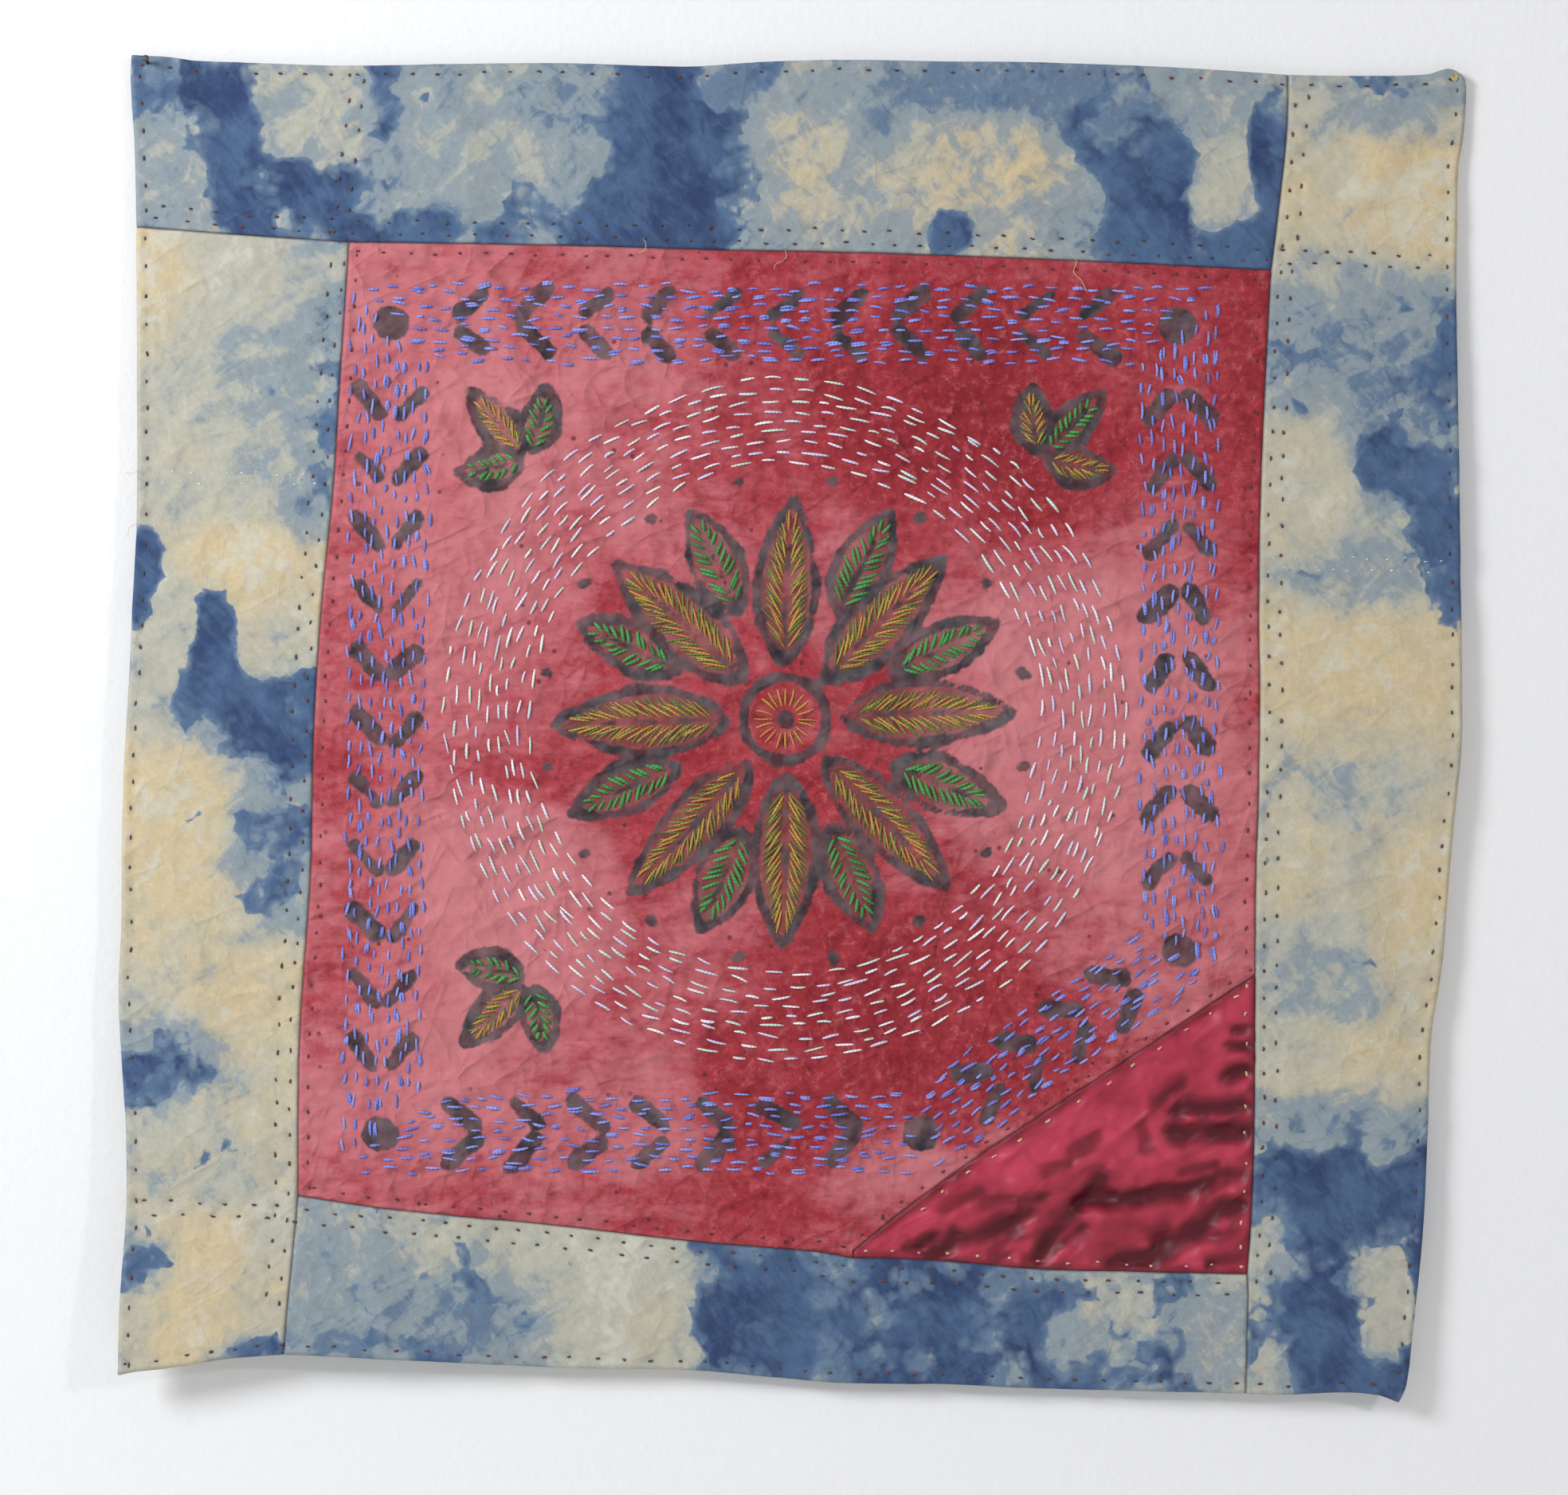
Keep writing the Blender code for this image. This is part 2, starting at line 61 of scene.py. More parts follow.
topEdgeLeft = [
    (-419.3, 10.8), (-394.3, 9.3), (-379.8, 7.3), (-333.3, 5.3), (-288.3, 3.8), (-220.0, 4.8),
    (-152.8, 5.3), (-70.3, 3.3), (-18.8, 6.3), (28.8, 7.3), (97.3, 6.3), (147.3, 5.8),
    (232.3, 2.8), (304.8, -1.8),
]
topEdgeRight = [(304.8, -1.8), (360.3, -2.3), (392.3, -1.3), (405.5, 2.2), (413.0, -0.8)]
rightEdge = [
    (413.0, -0.8), (416.3, -7.0), (414.8, -38.8), (411.3, -60.3), (410.3, -102.8), (409.8, -139.3),
    (411.3, -251.8), (412.8, -395.3), (412.3, -423.8), (408.3, -462.3), (403.8, -515.8),
    (400.3, -558.3), (393.3, -605.3), (391.0, -665.8), (387.8, -726.3), (381.3, -787.3),
    (377.0, -820.0), (372.3, -830.8),
]
bottomEdgeLeft = [(-423.8, -811.8), (-412.8, -809.8), (-394.3, -807.8), (-357.3, -802.3), (-321.8, -800.0)]
bottomEdgeMiddle = [
    (-321.8, -800.0), (-302.8, -800.8), (-152.8, -809.3), (-67.8, -811.3), (-18.8, -815.8),
    (25.8, -819.3), (92.8, -820.3), (147.3, -822.8), (277.3, -825.8),
]
bottomEdgeRight = [(277.3, -825.8), (303.3, -826.3), (337.3, -824.8), (359.3, -826.3), (372.3, -830.8)]
leftEdgeTop = [(-419.3, 10.8), (-419.8, -5.8), (-417.3, -43.8), (-416.3, -73.8), (-415.8, -97.3)]
leftEdgeLow = [
    (-415.8, -97.3), (-414.8, -221.8), (-414.8, -280.3), (-416.3, -308.8), (-419.3, -375.8),
    (-423.3, -452.3), (-424.3, -536.3), (-425.8, -574.3), (-423.3, -622.3), (-420.3, -660.3),
    (-419.8, -713.3), (-422.8, -762.3), (-423.8, -811.8),
]
seamTopLeft = [(-415.8, -97.3), (-349.0, -102.3), (-282.8, -106.8)]
seamTopMiddle = [
    (-282.8, -106.8), (-152.8, -108.8), (-45.8, -111.8), (13.8, -112.8), (147.3, -117.3), (293.8, -124.3),
]
seamLeftPanel = [
    (-282.8, -106.8), (-288.8, -203.8), (-292.3, -261.3), (-299.8, -337.8), (-304.3, -414.3),
    (-306.3, -503.8), (-311.3, -574.3), (-313.3, -622.0), (-313.3, -701.8),
]
seamLeftLow = [(-313.3, -701.8), (-315.8, -731.3), (-320.3, -778.8), (-321.8, -800.0)]
seamRightTop = [(304.8, -1.8), (303.8, -38.8), (297.3, -98.8), (293.8, -124.3)]
seamRightPanel = [
    (293.8, -124.3), (290.3, -188.3), (286.8, -270.8), (285.8, -337.8), (286.3, -395.3),
    (285.3, -453.8), (283.8, -503.8), (283.4, -564.8),
]
seamRightSatin = [(283.4, -564.8), (282.8, -659.8), (280.8, -715.8), (278.3, -751.3)]
seamRightLow = [(278.3, -751.3), (278.8, -765.0), (277.3, -825.8)]
seamBottomPanel = [
    (-313.3, -701.8), (-251.8, -710.8), (-152.8, -720.8), (-67.8, -730.8), (7.8, -737.3), (32.0, -741.3),
]
seamBottomSatin = [
    (32.0, -741.3), (61.3, -741.8), (101.8, -744.3), (147.3, -748.3), (205.8, -749.8), (278.3, -751.3),
]
seamCorner = [
    (32.0, -737.3), (64.0, -711.3), (107.8, -679.8), (152.3, -650.3),
    (205.8, -615.8), (259.3, -580.3), (283.4, -564.8),
]
cornerTip = [(32.0, -737.3), (32.0, -741.3)]

# How far the cloth's back is off the wall: a column for each x, a row for each z
standOffX = (-425.0, -145.0, 140.0, 415.0)
standOff = {
    10.0: (4.0, 6.0, 6.0, 3.5),
    -200.0: (9.5, 9.0, 8.5, 8.0),
    -400.0: (12.0, 12.5, 12.0, 10.0),
    -600.0: (14.5, 13.0, 12.0, 10.5),
    -830.0: (29.0, 13.5, 11.0, 14.5),
}
clothThick = 2.0

# Soft folds: the line each follows, half its width and its rise towards the room
borderFolds = [
    {"line": ((-404, 0), (-378, -28), (-350, -58)), "width": 8, "rise": 1.7},
    {"line": ((-376, -6), (-338, -94)), "width": 12, "rise": -1.3},
    {"line": ((-223, -14), (-203, -94)), "width": 14, "rise": 1.2},
    {"line": ((-68, 0), (-53, -104)), "width": 10, "rise": -1.3},
    {"line": ((122, -4), (142, -109)), "width": 14, "rise": 1.2},
    {"line": ((236, -8), (228, -90)), "width": 11, "rise": -1.0},
    {"line": ((403, -12), (376, -46), (347, -84)), "width": 9, "rise": 1.7},
    {"line": ((327, -164), (397, -194)), "width": 14, "rise": 1.3},
    {"line": ((297, -334), (407, -319)), "width": 12, "rise": -1.3},
    {"line": ((317, -484), (397, -454)), "width": 14, "rise": 1.3},
    {"line": ((347, -504), (367, -654)), "width": 16, "rise": 2.2},
    {"line": ((317, -734), (372, -824)), "width": 20, "rise": 2.6},
    {"line": ((-403, -164), (-303, -194)), "width": 12, "rise": -1.2},
    {"line": ((-413, -334), (-313, -304)), "width": 14, "rise": 1.4},
    {"line": ((-418, -454), (-313, -484)), "width": 12, "rise": -1.3},
    {"line": ((-383, -529), (-373, -654)), "width": 16, "rise": 2.0},
    {"line": ((-418, -674), (-318, -664)), "width": 12, "rise": 1.4},
    {"line": ((-403, -754), (-328, -794)), "width": 14, "rise": -2.0},
    {"line": ((-263, -719), (-258, -804)), "width": 12, "rise": 1.3},
    {"line": ((-183, -724), (-178, -804)), "width": 12, "rise": -1.4},
    {"line": ((-103, -734), (-103, -806)), "width": 12, "rise": 1.5},
    {"line": ((-3, -744), (-8, -814)), "width": 10, "rise": -1.5},
    {"line": ((72, -749), (70, -816)), "width": 10, "rise": 1.6},
    {"line": ((147, -754), (152, -819)), "width": 12, "rise": -1.4},
    {"line": ((222, -756), (225, -821)), "width": 12, "rise": 1.3},
]
panelFolds = [
    {"line": ((29, -119), (41, -198), (70, -232)), "width": 8, "rise": -1.8},
    {"line": ((47, -119), (60, -204)), "width": 10, "rise": 1.6},
    {"line": ((-161, -186), (-69, -146)), "width": 9, "rise": -1.5},
    {"line": ((187, -164), (267, -214)), "width": 14, "rise": 1.5},
    {"line": ((-250, -230), (-180, -300)), "width": 18, "rise": 1.6},
    {"line": ((116, -348), (156, -359), (162, -405)), "width": 9, "rise": -1.5},
    {"line": ((172, -304), (237, -334)), "width": 12, "rise": 1.5},
    {"line": ((-298, -454), (-268, -474)), "width": 8, "rise": -1.4},
    {"line": ((-193, -454), (-153, -470)), "width": 22, "rise": 2.2},
    {"line": ((-203, -492), (-151, -484)), "width": 8, "rise": -1.7},
    {"line": ((-191, -520), (-159, -492)), "width": 8, "rise": -1.4},
    {"line": ((-203, -516), (-147, -544)), "width": 8, "rise": -1.3},
    {"line": ((-305, -571), (-268, -554)), "width": 8, "rise": -1.5},
    {"line": ((-310, -619), (-243, -591)), "width": 12, "rise": 1.6},
    {"line": ((-268, -654), (-203, -704)), "width": 14, "rise": 1.7},
    {"line": ((-153, -654), (-53, -704)), "width": 16, "rise": -1.6},
    {"line": ((27, -574), (122, -619)), "width": 14, "rise": 1.5},
    {"line": ((197, -569), (267, -544)), "width": 9, "rise": -1.6},
    {"line": ((-60, -300), (60, -330)), "width": 20, "rise": 1.4},
    {"line": ((190, -430), (262, -470)), "width": 16, "rise": 1.5},
]
satinFolds = [
    {"line": ((147, -742), (160, -718), (177, -703), (187, -692)), "width": 8, "rise": -3.4},
    {"line": ((176, -706), (218, -703), (248, -698), (262, -691), (279, -688)), "width": 5.5, "rise": -3.2},
    {"line": ((193, -743), (220, -740), (235, -730), (252, -721), (261, -712), (276, -708)), "width": 6.5, "rise": -3.2},
    {"line": ((82, -740), (98, -728), (115, -727), (132, -718), (141, -712)), "width": 6, "rise": -3.0},
    {"line": ((122, -743), (127, -732), (134, -724)), "width": 7, "rise": -2.4},
    {"line": ((150, -743), (163, -732), (174, -724)), "width": 4.5, "rise": -2.0},
    {"line": ((68, -735), (82, -728)), "width": 4, "rise": -2.0},
    {"line": ((203, -730), (226, -722)), "width": 7, "rise": -1.5},
    {"line": ((255, -726), (277, -723)), "width": 4, "rise": -1.7},
    {"line": ((258, -743), (279, -739)), "width": 4.5, "rise": -2.2},
    {"line": ((238, -648), (258, -645), (279, -649)), "width": 5.5, "rise": -2.8},
    {"line": ((231, -662), (256, -663), (281, -660)), "width": 7, "rise": -3.4},
    {"line": ((222, -643), (236, -633)), "width": 4, "rise": -2.0},
    {"line": ((268, -609), (283, -610)), "width": 4, "rise": -2.3},
    {"line": ((273, -598), (284, -597)), "width": 3.5, "rise": -2.2},
    {"line": ((269, -626), (283, -625)), "width": 4.5, "rise": -2.4},
    {"line": ((212, -658), (213, -677)), "width": 5, "rise": -1.2},
    {"line": ((236, -690), (258, -683)), "width": 4, "rise": -1.7},
    {"line": ((114, -706), (153, -702)), "width": 4.5, "rise": -1.5},
    {"line": ((152, -688), (168, -682)), "width": 4, "rise": -1.5},
    {"line": ((169, -677), (184, -667)), "width": 5, "rise": -1.4},
    {"line": ((88, -712), (110, -700)), "width": 4, "rise": -1.3},
    {"line": ((104, -696), (148, -694), (172, -680)), "width": 7, "rise": 1.8},
    {"line": ((190, -688), (232, -680)), "width": 7, "rise": 1.8},
    {"line": ((186, -720), (232, -714)), "width": 5, "rise": 1.8},
    {"line": ((240, -654), (276, -654)), "width": 3, "rise": 1.3},
    {"line": ((200, -645), (225, -662)), "width": 8, "rise": 1.2},
]


def lengthOf(points):
    return sum(math.dist(a, b) for a, b in zip(points, points[1:]))


def smoothLine(points, shares):
    # A smooth curve through the points, read at shares of its length
    p = np.array(points, float)
    stops = np.concatenate([[0.0], np.cumsum(np.hypot(*np.diff(p, axis=0).T))])
    last = len(p) - 1
    before, after = np.maximum(np.arange(last + 1) - 1, 0), np.minimum(np.arange(last + 1) + 1, last)
    slope = (p[after] - p[before]) / (stops[after] - stops[before])[:, None]
    along = np.clip(np.asarray(shares, float), 0, 1) * stops[-1]
    at = np.clip(np.searchsorted(stops, along, side="right") - 1, 0, last - 1)
    span = (stops[at + 1] - stops[at])[:, None]
    t = (along - stops[at])[:, None] / span
    return (
        (2 * t**3 - 3 * t**2 + 1) * p[at]
        + (t**3 - 2 * t**2 + t) * slope[at] * span
        + (3 * t**2 - 2 * t**3) * p[at + 1]
        + (t**3 - t**2) * slope[at + 1] * span
    )


def joinedLine(pieces, shares):
    # Several lines end to end, each join moved onto the nearest of the shares
    lengths = np.array([lengthOf(points) for points in pieces])
    stops = np.concatenate([[0.0], np.cumsum(lengths) / lengths.sum()])
    shares = np.asarray(shares, float)
    for i in range(1, len(stops) - 1):
        stops[i] = shares[np.argmin(abs(shares - stops[i]))]
    out = np.zeros((len(shares), 2))
    for i, points in enumerate(pieces):
        inside = (shares >= stops[i]) & (shares <= stops[i + 1])
        out[inside] = smoothLine(points, (shares[inside] - stops[i]) / (stops[i + 1] - stops[i]))
    return out


def distanceTo(line, x, z):
    nearest = np.full(np.shape(x), 1e9)
    for (ax, az), (bx, bz) in zip(line, line[1:]):
        dx, dz = bx - ax, bz - az
        t = np.clip(((x - ax) * dx + (z - az) * dz) / (dx * dx + dz * dz), 0, 1)
        nearest = np.minimum(nearest, np.hypot(x - ax - t * dx, z - az - t * dz))
    return nearest


def cubicRead(stops, values, at):
    # values has one row for each stop; the rows come back read at each place
    stops = np.asarray(stops, float)
    order = np.argsort(stops)
    stops, values = stops[order], np.asarray(values, float)[order]
    last = len(stops) - 1
    i = np.clip(np.searchsorted(stops, at, side="right") - 1, 0, last - 1)
    t = np.clip((at - stops[i]) / (stops[i + 1] - stops[i]), 0, 1)[:, None]
    a, b = values[np.maximum(i - 1, 0)], values[i]
    c, d = values[i + 1], values[np.minimum(i + 2, last)]
    return b + 0.5 * t * (c - a + t * (2 * a - 5 * b + 4 * c - d + t * (3 * (b - c) + d - a)))


def softNoise(x, z, size, seed):
    # Smooth noise from 0 to 1, with lumps of about this size in millimetres
    table = np.random.RandomState(seed).rand(256, 256)
    u, v = x / size + 131.7, z / size + 77.3
    i, j = np.floor(u).astype(int), np.floor(v).astype(int)
    s, t = u - i, v - j
    s, t = s * s * (3 - 2 * s), t * t * (3 - 2 * t)
    a, b = table[i % 256, j % 256], table[(i + 1) % 256, j % 256]
    c, d = table[i % 256, (j + 1) % 256], table[(i + 1) % 256, (j + 1) % 256]
    return (a * (1 - s) + b * s) * (1 - t) + (c * (1 - s) + d * s) * t


def creaseNoise(x, z, size, seed, sharp=2.0):
    # Long soft creases: the ridges of a warped noise, centred on zero
    wx = x + size * 0.9 * (softNoise(x, z, size * 1.3, seed + 1) - 0.5)
    wz = z + size * 0.9 * (softNoise(x, z, size * 1.3, seed + 2) - 0.5)
    ridge = 1 - abs(2 * softNoise(wx, wz, size, seed) - 1)
    return ridge**sharp - 1 / (sharp + 1)


# ---- Sewing and painting layout, all in millimetres

rng = np.random.RandomState(41)

medallion = {
    "centre": (-10.0, -405.0),
    "petals": 8,
    "longPetal": {"start": 36.0, "length": 106.0, "width": 38.0, "bend": 0.0},
    "shortPetal": {"start": 74.0, "length": 70.0, "width": 31.0, "bend": 0.0},
    "eyeRadius": 26.0,
    "ring": {"first": 160.0, "pitch": 6.5, "rows": 9},
    "dotRadius": 151.0,
}
frameBand = {
    "corners": ((-256.0, -157.0), (236.0, -159.0), (236.0, -550.0), (74.0, -663.0), (-262.0, -663.0)),
    "width": 45.0, "rows": 8, "dabPitch": 39.0, "cornerDot": 10.5,
}
cornerSprig = {"reach": 226.0, "lengths": (50.0, 40.0, 40.0), "turns": (0.0, 62.0, -62.0), "width": 22.0}
rowInset = {"hem": 6.0, "near": 5.5, "far": 13.5, "panel": 6.0, "satin": 5.5}


def resample(points, step):
    count = max(2, int(round(lengthOf(points) / step)) + 1)
    p = np.array(points, float)
    stops = np.concatenate([[0.0], np.cumsum(np.hypot(*np.diff(p, axis=0).T))])
    at = np.linspace(0, stops[-1], count)
    return np.stack([np.interp(at, stops, p[:, 0]), np.interp(at, stops, p[:, 1])], axis=1)


def beside(points, offset):
    # The line moved to its right by offset, or to its left where that is negative
    p = smoothLine(points, np.linspace(0, 1, max(8, int(lengthOf(points) / 8))))
    d = np.gradient(p, axis=0)
    d /= np.hypot(d[:, 0], d[:, 1])[:, None]
    return [tuple(q) for q in p + offset * np.stack([d[:, 1], -d[:, 0]], axis=1)]


def chain(*lines):
    out = list(lines[0])
    for line in lines[1:]:
        out += list(line)[1:]
    return out


def runningRow(route, stitch, gap, wander=0.25, turn=2.5, vary=0.12, begin=0.0):
    # Running stitches along a route, as rows of ax, az, bx, bz
    fine = resample(route, 1.0)
    stops = np.concatenate([[0.0], np.cumsum(np.hypot(*np.diff(fine, axis=0).T))])
    out, at = [], begin + rng.uniform(0.2, 1.0) * gap
    while True:
        long = stitch * (1 + vary * rng.randn())
        if at + long > stops[-1]:
            break
        a = np.array([np.interp(at, stops, fine[:, k]) for k in (0, 1)])
        b = np.array([np.interp(at + long, stops, fine[:, k]) for k in (0, 1)])
        mid = (a + b) / 2 + rng.randn(2) * wander
        angle = math.radians(turn * rng.randn())
        half = (b - a) / 2
        half = np.array([
            half[0] * math.cos(angle) - half[1] * math.sin(angle),
            half[0] * math.sin(angle) + half[1] * math.cos(angle),
        ])
        out.append((*(mid - half), *(mid + half)))
        at += long + gap * (1 + vary * rng.randn())
    return out


def leafOutline(base, heading, leaf, steps=22):
    # A leaf or petal with a straight or bent midrib: its rib and its two sides, base to tip
    t = np.linspace(0, 1, steps)
    bend = leaf.get("bend", 0.0)
    turn = heading + bend * t**1.6
    step = leaf["length"] / (steps - 1)
    rib = np.array(base) + np.concatenate([
        [[0.0, 0.0]],
        np.cumsum(np.stack([np.cos(turn[:-1]), np.sin(turn[:-1])], axis=1) * step, axis=0),
    ])
    fat = 0.5 * leaf["width"] * np.sin(np.pi * t**leaf.get("belly", 0.85)) ** 0.8
    side = np.stack([-np.sin(turn), np.cos(turn)], axis=1) * fat[:, None]
    return rib, rib + side, rib - side


def herringbone(base, heading, leaf, pitch=4.6, slant=0.75, reach=0.8):
    # Slanting stitches from near the midrib out to the leaf's sides
    rib, left, right = leafOutline(base, heading, leaf, 80)
    out = []
    count = int(leaf["length"] * 0.8 / pitch)
    for k in range(count):
        t = 0.1 + 0.74 * (k + 0.15 * rng.randn()) / count
        i = int(np.clip(t, 0, 0.97) * 79)
        ahead = int(np.clip(t + slant * leaf["width"] * 0.34 / leaf["length"], 0, 1) * 79)
        for edge in (left, right):
            start = rib[i] + 0.1 * (edge[i] - rib[i]) + rng.randn(2) * 0.4
            end = rib[ahead] + (reach + 0.05 * rng.randn()) * (edge[ahead] - rib[ahead]) + rng.randn(2) * 0.4
            if math.dist(start, end) > 4.0:
                out.append((*start, *end))
    return out


corner = np.array(seamCorner)


def overSatin(x, z, margin=0.0):
    # True on the satin, or within margin of it
    z = np.asarray(z, float)
    return (z < np.interp(x, corner[:, 0], corner[:, 1]) + margin) & (np.asarray(x) > corner[0, 0] - margin)


def keepOffSatin(rows, margin):
    return [r for r in rows if not (overSatin(r[0], r[1], margin) or overSatin(r[2], r[3], margin))]


# The long double rows that run beside each seam and on across the strips
leftSeam = chain([(-268.0, 1.0)], seamLeftPanel, seamLeftLow[:-1], [(-322.5, -794.0)])
rightSeam = chain([(304.6, -7.0)], seamRightTop[1:], seamRightPanel, seamRightSatin, seamRightLow[:-1], [(277.3, -819.0)])
topSeam = chain([(-410.0, -97.6)], seamTopLeft[1:], seamTopMiddle, [(350.0, -126.5), (404.0, -129.0)])
bottomSeam = chain([(-414.0, -699.0), (-360.0, -700.5)], seamBottomPanel, seamBottomSatin, [(300.0, -752.0)])

hemRoutes = [
    beside(chain(topEdgeLeft, topEdgeRight), rowInset["hem"]),
    beside(rightEdge, rowInset["hem"]),
    beside(chain(bottomEdgeLeft, bottomEdgeMiddle, bottomEdgeRight), -rowInset["hem"]),
    beside(chain(leftEdgeTop, leftEdgeLow), -rowInset["hem"]),
]
darkStitches = []
for route in hemRoutes:
    darkStitches += runningRow(route, 4.0, 13.0, wander=0.4, turn=6)
for seam, side in ((leftSeam, 1), (rightSeam, -1), (topSeam, -1), (bottomSeam, 1)):
    for inset in (rowInset["near"], rowInset["far"]):
        darkStitches += runningRow(beside(seam, side * inset), 3.6, 13.2, wander=0.4, turn=7)

innerRoutes = [
    beside(seamTopMiddle, rowInset["panel"]),
    beside(seamRightPanel, rowInset["panel"]),
    beside(seamLeftPanel, -rowInset["panel"]),
    beside(seamBottomPanel, -rowInset["panel"]),
    beside(seamCorner, -rowInset["panel"] * 0.8),
]
redStitches = []
for route in innerRoutes:
    redStitches += runningRow(route, 3.6, 12.5, wander=0.4, turn=6)

creamStitches = runningRow(beside(seamCorner[1:], rowInset["satin"]), 4.0, 16.5, wander=0.5, turn=8)
creamStitches += runningRow(beside(seamRightSatin, rowInset["satin"]), 3.4, 16.0, wander=0.5, turn=12)
creamStitches += runningRow(beside(seamBottomSatin, -rowInset["satin"] * 0.8), 3.2, 15.0, wander=0.4, turn=6)


def bandLoop(offset):
    # The band's five-sided path, moved outward by offset with its corners kept sharp
    p = np.array(frameBand["corners"])
    before, after = p - np.roll(p, 1, axis=0), np.roll(p, -1, axis=0) - p
    before /= np.hypot(*before.T)[:, None]
    after /= np.hypot(*after.T)[:, None]
    out = np.stack([-(before[:, 1] + after[:, 1]), before[:, 0] + after[:, 0]], axis=1)
    out /= (1 + (before * after).sum(axis=1))[:, None]
    moved = [tuple(q) for q in p + out * offset]
    return moved + moved[:1]


def doubled(stitches, share, apart):
    # A second strand beside some of the stitches
    out = list(stitches)
    for ax, az, bx, bz in stitches:
        if rng.rand() < share:
            long = math.dist((ax, az), (bx, bz))
            sx, sz = (bz - az) / long * apart, -(bx - ax) / long * apart
            slip = 0.12 * rng.randn()
            dx, dz = (bx - ax) * slip, (bz - az) * slip
            out.append((ax + sx + dx, az + sz + dz, bx + sx * 0.6 + dx, bz + sz * 0.6 + dz))
    return out


blueStitches = []
for k, offset in enumerate(np.linspace(-0.5, 0.5, frameBand["rows"]) * frameBand["width"]):
    loop = bandLoop(offset)
    for a, b in zip(loop, loop[1:]):
        blueStitches += runningRow([a, b], 9.0, 5.0, wander=1.4, turn=7, vary=0.18, begin=(k % 2) * 6.0)
blueStitches = doubled(keepOffSatin(blueStitches, 7.0), 0.22, 1.3)

whiteStitches = []
cx, cz = medallion["centre"]
for k in range(medallion["ring"]["rows"]):
    radius = medallion["ring"]["first"] + medallion["ring"]["pitch"] * k
    angles = np.linspace(0, 2 * np.pi, 181) + 2.4 * k
    wave = radius + 1.0 * np.sin(8 * angles + k) + 0.7 * np.sin(5 * angles + 2.3 * k)
    ring = list(zip(cx + wave * np.cos(angles), cz + wave * np.sin(angles)))
    whiteStitches += runningRow(ring, 11.8, 6.4, wander=0.7, turn=4, vary=0.2)
prickRows = [(-412, -250, -300, -252), (-408, -257, -302, -259), (290, -304, 404, -306), (292, -311, 402, -313)]
prickStitches = []
for x0, z0, x1, z1 in prickRows:
    prickStitches += runningRow([(x0, z0), (x1, z1)], 2.0, 9.5, wander=0.7, turn=10, vary=0.2)

goldStitches, greenStitches, leafRoutes = [], [], []
oliveStitches = []


def fillLeaf(base, heading, leaf, fill):
    # Green leaves have one thick layer; gold ones have gold laid over olive
    leafRoutes.append(leafOutline(base, heading, leaf))
    if fill == "green":
        greenStitches.extend(herringbone(base, heading, leaf, pitch=5.0, slant=0.8, reach=0.74))
    else:
        oliveStitches.extend(herringbone(base, heading, leaf, pitch=4.2, slant=0.9, reach=0.8))
        goldStitches.extend(herringbone(base, heading, leaf, pitch=6.4, slant=1.25, reach=0.66))


for k in range(medallion["petals"]):
    angle = 2 * math.pi * k / medallion["petals"] + math.pi / 2
    for name, turn, fill in (("longPetal", 0.0, "gold"), ("shortPetal", math.pi / medallion["petals"], "green")):
        heading = angle + turn + math.radians(2.2) * rng.randn()
        petal = dict(medallion[name])
        petal["length"] *= 1 + 0.025 * rng.randn()
        petal["width"] *= 1 + 0.06 * rng.randn()
        petal["bend"] = 0.09 * rng.randn()
        base = (cx + petal["start"] * math.cos(heading), cz + petal["start"] * math.sin(heading))
        fillLeaf(base, heading, petal, fill)
for k, diagonal in enumerate((135.0, 45.0, 225.0)):
    out = math.radians(diagonal)
    base = (cx + cornerSprig["reach"] * math.cos(out), cz + cornerSprig["reach"] * math.sin(out) * 1.02)
    for length, turn in zip(cornerSprig["lengths"], cornerSprig["turns"]):
        leaf = {"length": length, "width": cornerSprig["width"], "bend": math.radians(-turn * 0.35)}
        heading = out + math.radians(turn + 3 * rng.randn())
        start = (base[0] + 5 * math.cos(heading), base[1] + 5 * math.sin(heading))
        fillLeaf(start, heading, leaf, "green" if (k + (turn != 0)) % 2 else "gold")
eyeStitches = []
for k in range(20):
    angle = 2 * math.pi * k / 20 + 0.05 * rng.randn()
    inner, outer = 7.0 + rng.rand(), medallion["eyeRadius"] - 6.5 + rng.rand()
    c, s = math.cos(angle), math.sin(angle)
    eyeStitches.append((cx + inner * c, cz + inner * s, cx + outer * c, cz + outer * s))
goldStitches += eyeStitches

# Brushed lines: a route and the half width of the brush
brushLines = []
for rib, left, right in leafRoutes:
    for side in (left, right):
        brushLines.append((side, 2.8 + 0.3 * rng.randn()))
    brushLines.append((rib[: len(rib) * 3 // 4], 0.9))
angles = np.linspace(0, 2 * np.pi, 33)
for radius, half in ((medallion["eyeRadius"], 3.4), (2.6, 2.6)):
    brushLines.append((np.stack([cx + radius * np.cos(angles), cz + radius * np.sin(angles)], axis=1), half))
for k in range(16):  # a round dab between the petals' tips
    angle = 2 * math.pi * (k + 0.5) / 16 + math.pi / 2
    px, pz = cx + medallion["dotRadius"] * math.cos(angle), cz + medallion["dotRadius"] * math.sin(angle)
    brushLines.append((np.array([(px - 0.8, pz), (px + 0.8, pz + rng.randn())]), 3.5))
loop = bandLoop(0.0)
